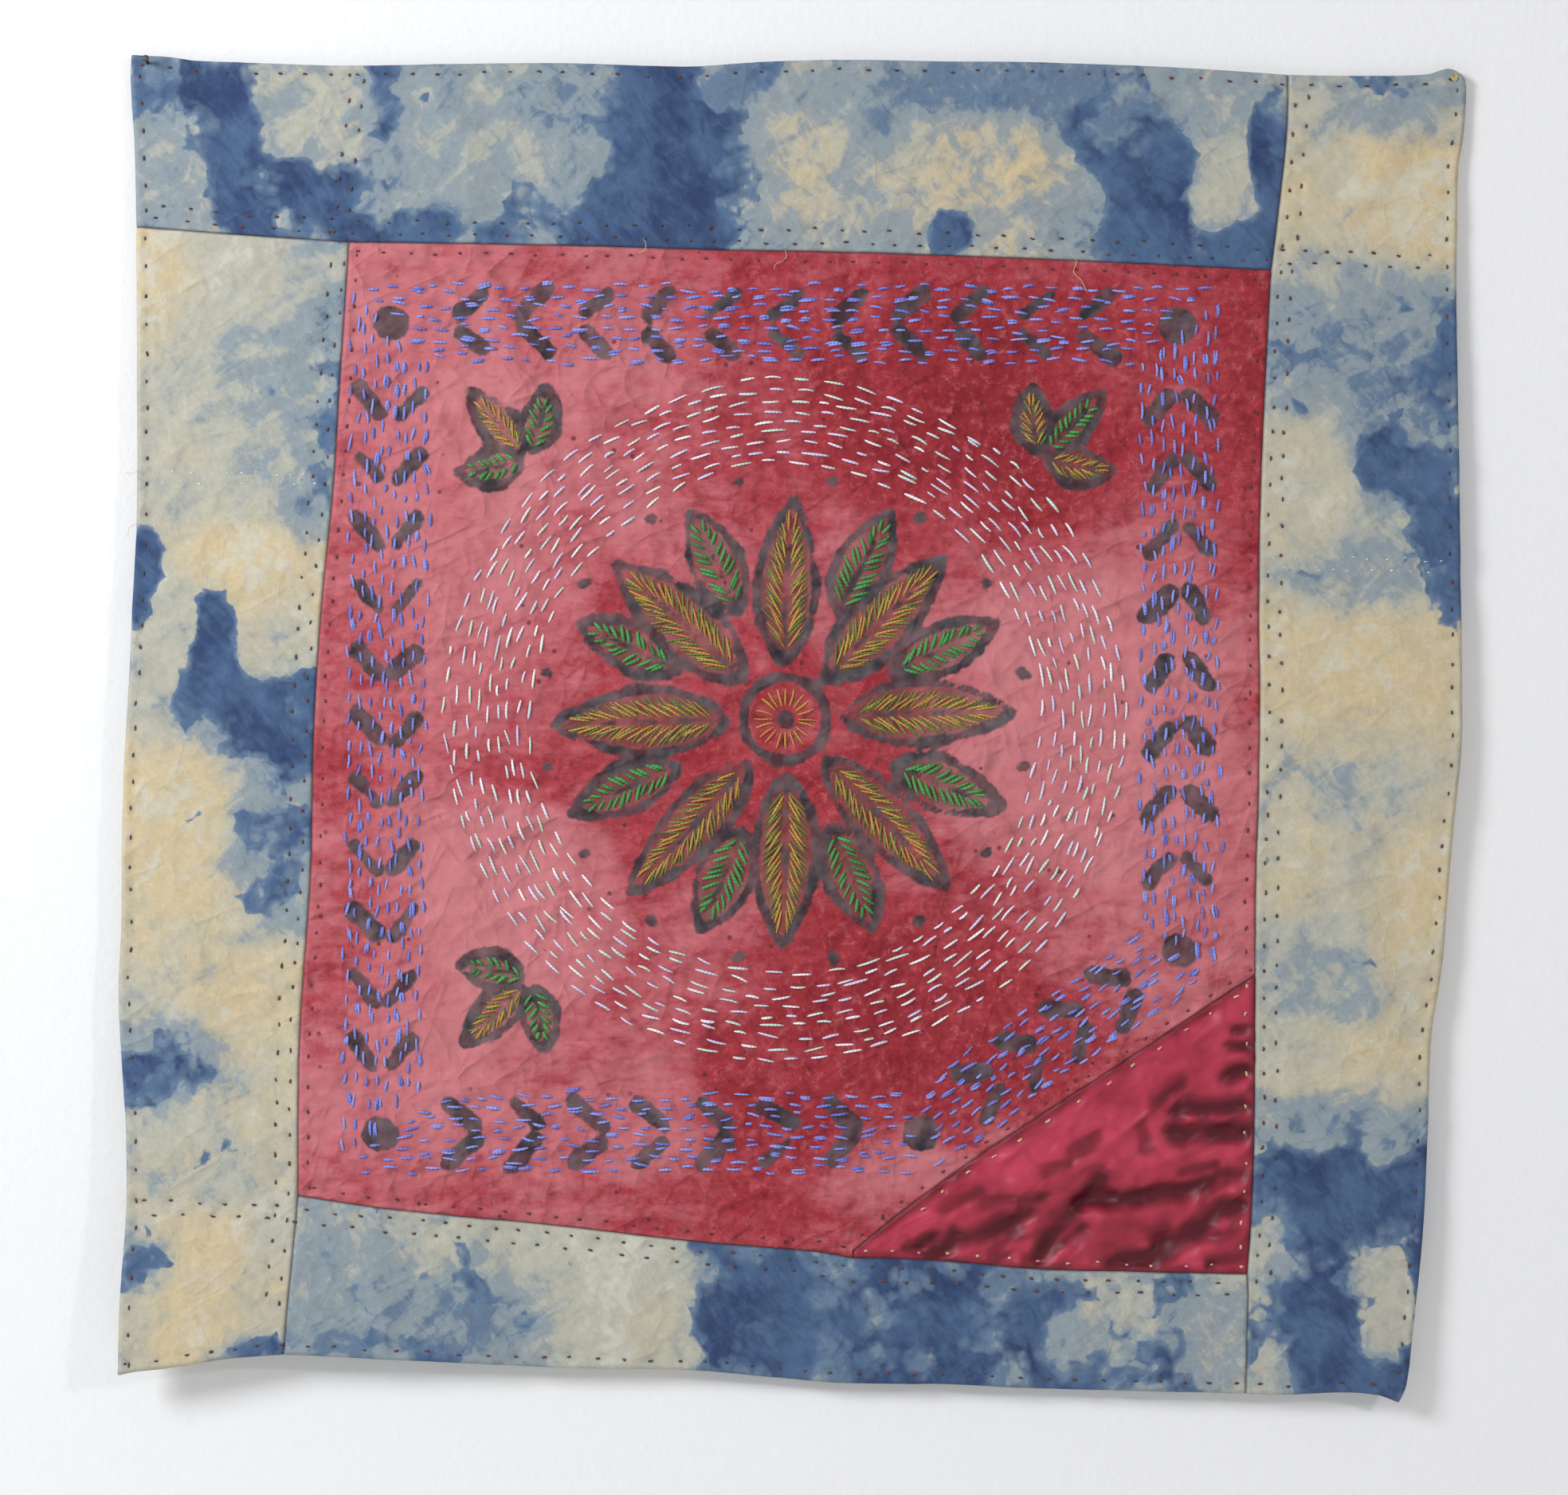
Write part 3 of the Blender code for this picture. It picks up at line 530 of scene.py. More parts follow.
for a, b in zip(loop, loop[1:]):  # slanting dabs in two rows, like an ear of wheat
    margin = 30.0
    room = math.dist(a, b) - 2 * margin
    count = max(1, int(round(room / frameBand["dabPitch"])))
    along = (np.array(b) - a) / math.dist(a, b)
    across = np.array([along[1], -along[0]])
    for k in range(count):
        middle = np.array(a) + along * (margin + (k + 0.5) * room / count)
        for side in (-1, 1):
            start = middle + side * across * 5.8 - along * 7.5 + rng.randn(2) * 1.1
            end = middle + side * across * 18.5 + along * 7.5 + rng.randn(2) * 1.1
            brushLines.append((np.array([start, end]), 4.9 + 0.6 * rng.randn()))
for px, pz in frameBand["corners"]:
    brushLines.append((np.array([(px - 1.0, pz), (px + 1.0, pz)]), frameBand["cornerDot"]))
print("layout:", len(blueStitches), "blue,", len(whiteStitches), "white,", len(oliveStitches), "olive,",
      len(goldStitches), "gold,", len(greenStitches), "green,", len(darkStitches), "dark stitches")

# ---- The cloth's height off the wall on a fine map, one value each millimetre

mapStart = (-440.0, -850.0)
mapSize = (870, 880)
mapX, mapZ = np.meshgrid(
    mapStart[0] + np.arange(mapSize[0]), mapStart[1] + np.arange(mapSize[1]), indexing="ij"
)

rowsAtX = np.stack([cubicRead(standOffX, np.array(v)[:, None], mapX[:, 0])[:, 0] for v in standOff.values()])
heightMap = cubicRead(list(standOff), rowsAtX, mapZ[0]).T.copy()
for fold in borderFolds + panelFolds:
    line = np.array(fold["line"], float)
    reach = 3 * fold["width"]
    low = np.clip(np.floor(line.min(axis=0) - reach - mapStart).astype(int), 0, None)
    high = np.ceil(line.max(axis=0) + reach - mapStart).astype(int)
    box = (slice(low[0], high[0]), slice(low[1], high[1]))
    heightMap[box] += fold["rise"] * np.exp(-((distanceTo(fold["line"], mapX[box], mapZ[box]) / fold["width"]) ** 2))

panelX0 = np.interp(-mapZ, [-p[1] for p in seamLeftPanel], [p[0] for p in seamLeftPanel])
panelX1 = np.interp(-mapZ, [-p[1] for p in seamRightPanel + seamRightSatin[1:]],
                    [p[0] for p in seamRightPanel + seamRightSatin[1:]])
bottomLine = np.array(seamBottomPanel + seamBottomSatin[1:])
panelZ0 = np.interp(mapX, bottomLine[:, 0], bottomLine[:, 1])
panelZ1 = np.interp(mapX, [p[0] for p in seamTopMiddle], [p[1] for p in seamTopMiddle])
inPanel = np.minimum.reduce([mapX - panelX0, panelX1 - mapX, mapZ - panelZ0, panelZ1 - mapZ])
cornerZ = np.interp(mapX, corner[:, 0], corner[:, 1])
inSatin = np.minimum(np.minimum(cornerZ - mapZ, inPanel), mapX - corner[0, 0])

satinFade = np.clip(inSatin / 5.0, 0, 1)
satinBox = (slice(460, 735), slice(90, 300))
satinRise, satinValleyShade = np.zeros_like(heightMap), np.zeros_like(heightMap)
wander = 5.0 * (softNoise(mapX[satinBox], mapZ[satinBox], 17, 71) - 0.5)
uneven = 0.45 + 1.0 * softNoise(mapX[satinBox], mapZ[satinBox], 13, 72)
spread = 0.6 + 0.7 * softNoise(mapX[satinBox], mapZ[satinBox], 10, 73)
for fold in satinFolds:
    away = distanceTo(fold["line"], mapX[satinBox] + wander, mapZ[satinBox] + 0.8 * wander) / spread
    lip = np.exp(-(((away - 2.1 * fold["width"]) / (0.9 * fold["width"])) ** 2))
    satinRise[satinBox] += fold["rise"] * uneven * (np.exp(-((away / (1.3 * fold["width"])) ** 2)) - 0.35 * lip)
    # each valley also paints shade into the satin's colour
    if fold["rise"] < 0:
        depth = np.clip(-fold["rise"] / 3.0, 0, 1) * uneven * np.exp(-((away / fold["width"]) ** 2))
        satinValleyShade[satinBox] = np.maximum(satinValleyShade[satinBox], depth)
slantX, slantZ = mapX * 0.82 + mapZ * 0.57, -mapX * 0.57 + mapZ * 0.82
satinRise += 2.4 * creaseNoise(slantX * 0.42, slantZ, 15, 90, 1.6) + 0.9 * creaseNoise(slantX * 0.5, slantZ, 7, 95, 1.4)
heightMap += satinFade * satinRise

# Fine crumpling, strongest on the red cotton; each layer's creases run mostly one way
redShare = np.clip(inPanel / 6.0, 0, 1) * (1 - np.clip(inSatin / 3.0, 0, 1))
crumple = 1.5 * creaseNoise(mapX * 0.7, mapZ + mapX * 0.25, 44, 11, 2.6)
crumple += 1.1 * creaseNoise(mapX * 0.55 - mapZ * 0.3, mapZ, 20, 21, 2.4)
crumple += 0.7 * creaseNoise(mapX + mapZ * 0.5, mapZ * 0.5, 15, 61, 2.4)
crumple += 0.5 * creaseNoise(mapX * 0.6, mapZ, 8, 31, 1.8) + 0.4 * (softNoise(mapX, mapZ, 5.5, 51) - 0.5)
heightMap += crumple * (0.55 + 0.85 * redShare) * (1 - 0.75 * satinFade)


def stampDents(stitches, depth, reach):
    # Each end of a stitch draws the cloth in
    ends = np.array(stitches).reshape(-1, 2)
    span = int(reach * 2.5)
    ox, oz = np.meshgrid(np.arange(-span, span + 1), np.arange(-span, span + 1), indexing="ij")
    for x, z in ends:
        i, j = int(round(x - mapStart[0])), int(round(z - mapStart[1]))
        if not (span <= i < mapSize[0] - span and span <= j < mapSize[1] - span):
            continue
        d2 = (mapX[i, 0] + ox - x) ** 2 + (mapZ[0, j] + oz - z) ** 2
        heightMap[i - span : i + span + 1, j - span : j + span + 1] -= depth * np.exp(-d2 / reach**2)


stampDents(darkStitches, 0.6, 3.2)
stampDents(redStitches, 0.55, 3.0)
stampDents(creamStitches, 1.1, 3.4)
stampDents(blueStitches, 0.42, 2.6)
stampDents(whiteStitches, 0.55, 3.0)
stampDents(oliveStitches + greenStitches, 0.3, 2.2)


def blurred(field, reach):
    # The mean over a square of this half width
    out = np.pad(field, reach + 1, mode="edge")
    for axis in (0, 1):
        total = np.cumsum(out, axis=axis)
        out = np.take(total, range(2 * reach + 1, total.shape[axis]), axis=axis)
        out = (out - np.take(total, range(0, total.shape[axis] - 2 * reach - 1), axis=axis)) / (2 * reach + 1)
    return out[: field.shape[0], : field.shape[1]]


hollowMap = heightMap - blurred(blurred(heightMap, 4), 4)
# Painted shade for the satin: its fold valleys darkened, and a painted shadow band along the seam above it
seamShadowBand = 0.42 * np.exp(-((inSatin / 5.0) ** 2))
satinShadeMap = -np.maximum(satinValleyShade, seamShadowBand) - 0.3 * creaseNoise(slantX * 0.5, slantZ, 9, 95, 1.4)
print("height map made")


def mapAt(field, x, z):
    u, v = np.asarray(x) - mapStart[0], np.asarray(z) - mapStart[1]
    i = np.clip(np.floor(u).astype(int), 0, mapSize[0] - 2)
    j = np.clip(np.floor(v).astype(int), 0, mapSize[1] - 2)
    s, t = u - i, v - j
    return ((field[i, j] * (1 - s) + field[i + 1, j] * s) * (1 - t)
            + (field[i, j + 1] * (1 - s) + field[i + 1, j + 1] * s) * t)


def heightAt(x, z):
    return mapAt(heightMap, x, z)


# ---- Materials

def srgb(r, g, b):
    # 0 to 255 picture values to the linear ones that shaders use
    def one(c):
        c /= 255
        return c / 12.92 if c <= 0.04045 else ((c + 0.055) / 1.055) ** 2.4
    return (one(r), one(g), one(b), 1.0)


class Wires:
    # Small helper: makes nodes in a tree and joins them
    def __init__(self, tree):
        self.tree = tree

    def node(self, kind, **settings):
        n = self.tree.nodes.new(kind)
        for key, value in settings.items():
            setattr(n, key, value)
        return n

    def put(self, socket, value):
        if isinstance(value, bpy.types.NodeSocket):
            self.tree.links.new(value, socket)
        elif value is not None:
            socket.default_value = value

    def math(self, operation, a, b=None, c=None, clamp=False):
        n = self.node("ShaderNodeMath", operation=operation, use_clamp=clamp)
        for socket, value in zip(n.inputs, (a, b, c)):
            self.put(socket, value)
        return n.outputs[0]

    def ramp(self, value, stops, mode="LINEAR"):
        n = self.node("ShaderNodeValToRGB")
        n.color_ramp.interpolation = mode
        elements = n.color_ramp.elements
        while len(elements) < len(stops):
            elements.new(0.5)
        for element, (at, colour) in zip(elements, stops):
            element.position = at
            element.color = colour
        self.put(n.inputs[0], value)
        return n.outputs["Color"]

    def mixColour(self, share, a, b, blend="MIX"):
        n = self.node("ShaderNodeMix", data_type="RGBA", blend_type=blend)
        self.put(n.inputs[0], share)
        self.put(n.inputs[6], a)
        self.put(n.inputs[7], b)
        return n.outputs[2]

    def noise(self, vector, scale, detail=4.0, rough=0.55, warp=0.0):
        n = self.node("ShaderNodeTexNoise")
        self.put(n.inputs["Vector"], vector)
        self.put(n.inputs["Scale"], scale)
        self.put(n.inputs["Detail"], detail)
        self.put(n.inputs["Roughness"], rough)
        self.put(n.inputs["Distortion"], warp)
        return n

    def remap(self, value, low, high, outLow=0.0, outHigh=1.0, smooth=False):
        n = self.node("ShaderNodeMapRange", interpolation_type="SMOOTHSTEP" if smooth else "LINEAR")
        for socket, v in zip(n.inputs, (value, low, high, outLow, outHigh)):
            self.put(socket, v)
        return n.outputs[0]

    def mapping(self, vector, location=(0, 0, 0), rotation=(0, 0, 0), scale=(1, 1, 1)):
        n = self.node("ShaderNodeMapping")
        self.put(n.inputs["Vector"], vector)
        n.inputs["Location"].default_value = location
        n.inputs["Rotation"].default_value = rotation
        n.inputs["Scale"].default_value = scale
        return n.outputs[0]

    def slanted(self, vector, turn, scale, shift=(0, 0, 0)):
        # Turned first and scaled after, so that a pattern can be drawn out along any slope
        return self.mapping(self.mapping(vector, rotation=(0, turn, 0)), location=shift, scale=scale)

    def attribute(self, name):
        return self.node("ShaderNodeAttribute", attribute_name=name).outputs["Fac"]

    def objectPlace(self):
        return self.node("ShaderNodeTexCoord").outputs["Object"]


def newGroup(name, inputs, outputs):
    tree = bpy.data.node_groups.new(name, "ShaderNodeTree")
    for label, kind, value in inputs:
        socket = tree.interface.new_socket(label, in_out="INPUT", socket_type=kind)
        if value is not None:
            socket.default_value = value
    for label, kind in outputs:
        tree.interface.new_socket(label, in_out="OUTPUT", socket_type=kind)
    w = Wires(tree)
    return tree, w, w.node("NodeGroupInput").outputs, w.node("NodeGroupOutput").inputs


def makeWeaveGroup():
    # Plain weave: threads crossing at a pitch, with slubs and a little fuzz
    tree, w, given, out = newGroup(
        "PlainWeave",
        [("Vector", "NodeSocketVector", None), ("Threads", "NodeSocketFloat", 1900.0), ("Slub", "NodeSocketFloat", 0.6)],
        [("Height", "NodeSocketFloat"), ("Shade", "NodeSocketFloat")],
    )
    split = w.node("ShaderNodeSeparateXYZ")
    w.put(split.inputs[0], given["Vector"])
    around = w.math("MULTIPLY", given["Threads"], math.pi)
    warp = w.math("SINE", w.math("MULTIPLY", split.outputs[0], around))
    weft = w.math("SINE", w.math("MULTIPLY", split.outputs[2], around))
    cross = w.math("MULTIPLY", warp, weft)
    across = w.noise(w.mapping(given["Vector"], scale=(1, 1, 14)), 120.0, 3.0, 0.6).outputs[0]
    down = w.noise(w.mapping(given["Vector"], scale=(14, 1, 1)), 120.0, 3.0, 0.6).outputs[0]
    slubs = w.math("MULTIPLY", w.math("ADD", across, down), given["Slub"])
    w.put(out["Height"], w.math("ADD", w.math("MULTIPLY", cross, 0.35), slubs))
    fuzz = w.noise(given["Vector"], 900.0, 2.0, 0.7).outputs[0]
    shade = w.math("ADD", w.math("MULTIPLY", slubs, 0.5), w.math("MULTIPLY", fuzz, 0.5))
    w.put(out["Shade"], shade)
    return tree


def makeCrumpleGroup():
    # Small soft creases, finer than the mesh holds
    tree, w, given, out = newGroup(
        "SmallCreases",
        [("Vector", "NodeSocketVector", None), ("Size", "NodeSocketFloat", 90.0)],
        [("Height", "NodeSocketFloat")],
    )
    total = w.math("MULTIPLY", w.noise(given["Vector"], w.math("MULTIPLY", given["Size"], 2.2), 3.0).outputs[0], 0.5)
    for turn, stretch, share in ((0.45, 0.38, 0.8), (-0.9, 0.5, 0.6), (1.35, 0.42, 0.5)):
        drawn = w.slanted(given["Vector"], turn, (stretch, 1, 1), (turn, 0, 0))
        n = w.noise(drawn, given["Size"], 2.0, 0.45, 0.25)
        ridge = w.math("ABSOLUTE", w.math("SUBTRACT", n.outputs[0], 0.5))
        soft = w.math("POWER", w.math("SUBTRACT", 1.0, w.math("MULTIPLY", ridge, 4.0, clamp=True)), 2.2)
        total = w.math("ADD", total, w.math("MULTIPLY", soft, share))
    w.put(out["Height"], total)
    return tree


def makeDyeGroup():
    # Folded and tied blue dye: soft clouds with crisp, branching edges, over pale and warm cloth
    tree, w, given, out = newGroup(
        "TieDye",
        [("Vector", "NodeSocketVector", None), ("Ink", "NodeSocketFloat", 0.3), ("Haze", "NodeSocketFloat", 0.4),
         ("Warm", "NodeSocketFloat", 0.0)],
        [("Color", "NodeSocketColor")],
    )
    moved = given["Vector"]
    for scale, reach in ((14.0, 0.022), (60.0, 0.007)):
        shift = w.node("ShaderNodeVectorMath", operation="MULTIPLY_ADD")
        w.put(shift.inputs[0], w.noise(moved, scale, 3.0, 0.5).outputs["Color"])
        shift.inputs[1].default_value = (reach, reach, reach)
        w.put(shift.inputs[2], moved)
        moved = shift.outputs[0]

    def centred(value, amount):
        return w.math("MULTIPLY", w.math("SUBTRACT", value, 0.5), amount)

    def cells(scale):
        n = w.node("ShaderNodeTexVoronoi", feature="F1")
        w.put(n.inputs["Vector"], moved)
        n.inputs["Scale"].default_value = scale
        return n.outputs["Distance"]

    # round pale lobes with pointed dark gaps, at two sizes
    spread = w.math("ADD", centred(cells(34.0), 0.62), centred(cells(110.0), 0.24))
    cloud = w.noise(moved, 22.0, 9.0, 0.6).outputs[0]
    level = w.math("ADD", w.math("ADD", given["Ink"], spread), centred(cloud, 0.75))
    level = w.math("ADD", level, 0.06)
    middle = w.remap(level, 0.462, 0.525, 0.0, 1.0, True)
    wash = w.noise(moved, 75.0, 6.0, 0.6, 0.6).outputs[0]
    deep = w.remap(w.math("ADD", level, centred(wash, 0.55)), 0.50, 0.72, 0.0, 1.0, True)

    warmShare = w.remap(w.math("ADD", given["Warm"], centred(w.noise(moved, 26.0, 9.0, 0.66).outputs[0], 2.0)),
                        0.10, 1.15, 0.0, 0.92, True)
    colour = w.mixColour(warmShare, srgb(190, 188, 174), srgb(214, 194, 155))
    feather = w.noise(w.slanted(moved, 0.7, (1, 1, 1.9)), 30.0, 9.0, 0.64, 0.9).outputs[0]
    strands = w.noise(w.slanted(moved, -0.9, (1, 1, 2.8)), 58.0, 7.0, 0.6, 0.8).outputs[0]
    hazeLevel = w.math("ADD", given["Haze"], w.math("ADD", centred(feather, 1.35), centred(strands, 0.7)))
    hazeLevel = w.math("ADD", hazeLevel, centred(cells(48.0), 0.34))
    # a soft cloud, then a crisper rim where the dye stopped
    colour = w.mixColour(w.remap(hazeLevel, 0.16, 0.72, 0.0, 0.66, True), colour, srgb(138, 154, 166))
    colour = w.mixColour(w.remap(hazeLevel, 0.44, 0.57, 0.0, 0.40, True), colour, srgb(128, 148, 166))
    colour = w.mixColour(w.remap(hazeLevel, 0.74, 0.98, 0.0, 0.80, True), colour, srgb(92, 118, 150))
    pale = w.remap(hazeLevel, 0.10, -0.12, 0.0, 0.60, True)
    colour = w.mixColour(pale, colour, srgb(210, 209, 198))
    patches = w.remap(wash, 0.36, 0.64, 0.0, 1.0, True)
    colour = w.mixColour(middle, colour, w.mixColour(patches, srgb(86, 112, 146), srgb(128, 148, 168)))
    drift = w.remap(w.math("ADD", cloud, centred(strands, 0.5)), 0.32, 0.68, 0.0, 1.0, True)
    colour = w.mixColour(deep, colour, w.mixColour(drift, srgb(52, 70, 110), srgb(82, 108, 145)))
    grime = w.noise(given["Vector"], 240.0, 5.0, 0.7).outputs[0]
    colour = w.mixColour(1.0, colour, w.remap(grime, 0.3, 0.7, 0.90, 1.07), "MULTIPLY")
    w.put(out["Color"], colour)
    return tree


weaveGroup, crumpleGroup, dyeGroup = makeWeaveGroup(), makeCrumpleGroup(), makeDyeGroup()


def placeGroup(w, tree, **values):
    n = w.node("ShaderNodeGroup", node_tree=tree)
    for key, value in values.items():
        w.put(n.inputs[key], value)
    return n


def startMaterial(name, roughness, sheen=0.0, sheenTint=(1, 1, 1, 1), specular=0.3):
    material = bpy.data.materials.new(name)
    material.use_nodes = True
    tree = material.node_tree
    shader = tree.nodes["Principled BSDF"]
    shader.inputs["Roughness"].default_value = roughness
    shader.inputs["Specular IOR Level"].default_value = specular
    shader.inputs["Sheen Weight"].default_value = sheen
    shader.inputs["Sheen Tint"].default_value = sheenTint
    return material, Wires(tree), shader


def clothNormal(w, shader, place, threads, weaveDepth, creaseSize, creaseDepth, slub=0.6):
    weave = placeGroup(w, weaveGroup, Vector=place, Threads=threads, Slub=slub)
    creases = placeGroup(w, crumpleGroup, Vector=place, Size=creaseSize)
    first = w.node("ShaderNodeBump")
    first.inputs["Distance"].default_value = creaseDepth
    first.inputs["Strength"].default_value = 0.6
    w.put(first.inputs["Height"], creases.outputs["Height"])
    second = w.node("ShaderNodeBump")
    second.inputs["Distance"].default_value = weaveDepth
    second.inputs["Strength"].default_value = 0.7
    w.put(second.inputs["Height"], weave.outputs["Height"])
    w.put(second.inputs["Normal"], first.outputs[0])
    w.put(shader.inputs["Normal"], second.outputs[0])
    return weave


def seamShade(w, colour, amount=0.55):
    # The turned edge of a piece is darker right at its fold
    near = w.remap(w.attribute("edge"), 0.0, 1.4, amount, 0.0, True)
    return w.mixColour(near, colour, srgb(52, 40, 46))


def hollowShade(w, colour, deepest, low, high, amount):
    # Painted shade: the valleys between folds are darkened, as they hold less light
    share = w.remap(w.attribute("hollow"), high, low, 0.0, amount, True)
    return w.mixColour(share, colour, deepest)


def dyedCotton(name, shift, back=False):
    material, w, shader = startMaterial(name, 0.9, sheen=0.06, specular=0.2)
    place = w.objectPlace()
    dye = placeGroup(w, dyeGroup, Vector=w.mapping(place, location=shift),
                     Ink=w.attribute("ink"), Haze=w.attribute("haze"), Warm=w.attribute("warm"))
    colour = dye.outputs["Color"]
    if back:
        colour = w.mixColour(0.28, colour, srgb(200, 200, 188))
    weave = clothNormal(w, shader, place, 1700.0, 0.00022, 50.0, 0.0012)
    grain = w.remap(weave.outputs["Shade"], 0.3, 0.9, 0.70, 0.88)
    colour = w.mixColour(1.0, colour, grain, "MULTIPLY")
    # painted shade in the valleys of the creases
    colour = hollowShade(w, colour, srgb(70, 76, 92), -1.3, -0.1, 0.42)
    w.put(shader.inputs["Base Color"], seamShade(w, colour))
    return material


def redCotton(name, back=False):
    material, w, shader = startMaterial(name, 0.9, sheen=0.05, specular=0.2)
    place = w.objectPlace()

    def centred(value, amount):
        return w.math("MULTIPLY", w.math("SUBTRACT", value, 0.5), amount)

    big = w.noise(place, 12.0, 12.0, 0.66, 0.5).outputs[0]
    brushed = w.noise(w.mapping(place, scale=(1, 1, 2.8)), 42.0, 9.0, 0.68, 0.3).outputs[0]
    level = w.math("ADD", w.attribute("deep"), w.math("ADD", centred(big, 1.15), centred(brushed, 0.85)))
    colour = w.ramp(level, [
        (0.05, srgb(209, 128, 134)), (0.30, srgb(201, 112, 120)), (0.45, srgb(189, 92, 101)),
        (0.55, srgb(177, 70, 80)), (0.72, srgb(166, 52, 62)), (1.0, srgb(146, 38, 48)),
    ])
    grains = w.noise(place, 150.0, 8.0, 0.78, 0.4).outputs[0]
    dark = w.math("MULTIPLY", w.remap(grains, 0.52, 0.62, 0.0, 1.0, True), w.remap(level, 0.30, 0.75, 0.06, 0.66))
    colour = w.mixColour(dark, colour, srgb(132, 34, 46))
    light = w.math("MULTIPLY", w.remap(grains, 0.48, 0.38, 0.0, 1.0, True), w.remap(level, 0.35, 0.70, 0.08, 0.46))
    colour = w.mixColour(light, colour, srgb(206, 112, 118))
    spots = w.node("ShaderNodeTexVoronoi", feature="F1")
    w.put(spots.inputs["Vector"], place)
    spots.inputs["Scale"].default_value = 62.0
    speck = w.remap(spots.outputs["Distance"], 0.12, 0.07, 0.0, 0.75, True)
    rare = w.remap(w.noise(place, 30.0, 2.0).outputs[0], 0.46, 0.54, 0.0, 1.0, True)
    colour = w.mixColour(w.math("MULTIPLY", speck, rare), colour, srgb(84, 44, 46))
    weave = clothNormal(w, shader, place, 1500.0, 0.00022, 46.0, 0.0032)
    grain = w.remap(weave.outputs["Shade"], 0.3, 0.9, 0.68, 0.86)
    colour = w.mixColour(1.0, colour, grain, "MULTIPLY")
    if back:
        colour = w.mixColour(0.25, colour, srgb(205, 140, 142))
    else:
        smear = w.remap(w.noise(place, 55.0, 6.0, 0.65).outputs[0], 0.36, 0.66, 0.34, 0.78)
        washed = w.math("MULTIPLY", w.attribute("wash"), smear)
        colour = w.mixColour(washed, colour, srgb(92, 70, 66))
        edgeNoise = w.math("ADD", centred(w.noise(place, 160.0, 5.0, 0.65).outputs[0], 5.5),
                           centred(w.noise(place, 52.0, 2.0, 0.5).outputs[0], 6.8))
        mask = w.remap(w.math("ADD", w.attribute("paint"), edgeNoise), 1.0, -0.8, 0.0, 1.0, True)
        thin = w.remap(w.noise(place, 55.0, 6.0, 0.7).outputs[0], 0.36, 0.60, 0.78, 1.0)
        tone = w.mixColour(w.remap(w.noise(place, 75.0, 3.0).outputs[0], 0.36, 0.64, 0.0, 1.0),
                           srgb(42, 42, 48), srgb(90, 82, 86))
        colour = w.mixColour(w.math("MULTIPLY", mask, thin), colour, tone)
    # painted shade in the valleys of the creases
    colour = hollowShade(w, colour, srgb(96, 28, 38), -1.5, -0.1, 0.50)
    w.put(shader.inputs["Base Color"], seamShade(w, colour))
    return material


def burgundySatin(name, back=False):
    material, w, shader = startMaterial(name, 0.62 if back else 0.46, 0.04, srgb(236, 130, 150), 0.26)
    place = w.objectPlace()
    cloud = w.remap(w.noise(place, 30.0, 3.0).outputs[0], 0.3, 0.7, 0.0, 1.0)
    colour = w.mixColour(cloud, srgb(148, 38, 58), srgb(182, 58, 82))
    streak = w.noise(w.slanted(place, math.radians(20), (1, 1, 22)), 90.0, 3.0).outputs[0]
    colour = w.mixColour(w.remap(streak, 0.35, 0.7, 0.0, 0.2), colour, srgb(118, 30, 46))
    if not back:  # a valley on the front is a ridge behind
        # Painted shade: the fold valleys and the seam's shadow band are darkened into the colour
        colour = hollowShade(w, colour, srgb(110, 24, 40), -0.42, 0.0, 0.80)
        colour = hollowShade(w, colour, srgb(72, 12, 24), -0.95, -0.28, 0.90)
    twill = w.node("ShaderNodeTexWave", wave_type="BANDS", bands_direction="DIAGONAL")
    w.put(twill.inputs["Vector"], place)
    twill.inputs["Scale"].default_value = 520.0
    fine = w.node("ShaderNodeBump")
    fine.inputs["Distance"].default_value = 0.00004
    fine.inputs["Strength"].default_value = 0.4
    w.put(fine.inputs["Height"], twill.outputs["Fac"])
    soft = w.node("ShaderNodeBump")
    soft.inputs["Distance"].default_value = 0.001
    soft.inputs["Strength"].default_value = 0.35
    w.put(soft.inputs["Height"], w.noise(w.mapping(place, rotation=(0, 0.6, 0), scale=(0.4, 1, 1)), 60.0, 2.0).outputs[0])
    w.put(fine.inputs["Normal"], soft.outputs[0])
    w.put(shader.inputs["Normal"], fine.outputs[0])
    w.put(shader.inputs["Base Color"], seamShade(w, colour, 0.6))
    return material


def threadMaterial(name, colours):
    # Stranded thread: each stitch takes its own tone, and the strands twist round it
    material, w, shader = startMaterial(name, 0.5, sheen=0.2, specular=0.4)
    tone = w.attribute("tone")
    stops = [(k / max(1, len(colours) - 1), srgb(*c)) for k, c in enumerate(colours)]
    colour = w.ramp(tone, stops)
    angle = w.math("MULTIPLY", w.attribute("along"), 2.6)
    turn = w.node("ShaderNodeAttribute", attribute_name="round")
    split = w.node("ShaderNodeSeparateXYZ")
    w.put(split.inputs[0], turn.outputs["Vector"])
    twist = w.math("ADD", w.math("MULTIPLY", split.outputs[0], w.math("SINE", angle)),
                   w.math("MULTIPLY", split.outputs[1], w.math("COSINE", angle)))
    bump = w.node("ShaderNodeBump")
    bump.inputs["Distance"].default_value = 0.0002
    bump.inputs["Strength"].default_value = 0.8
    w.put(bump.inputs["Height"], twist)
    w.put(shader.inputs["Normal"], bump.outputs[0])
    # Painted shade: darker in the grooves between the twisted strands and along the thread's flanks, where a round
    # thread turns away from the light
    shade = w.remap(twist, -1.0, 1.0, 0.76, 1.08)
    flankShade = w.remap(w.math("ABSOLUTE", split.outputs[0]), 0.45, 1.0, 1.0, 0.58)
    w.put(shader.inputs["Base Color"], w.mixColour(1.0, colour, w.math("MULTIPLY", shade, flankShade), "MULTIPLY"))
    return material


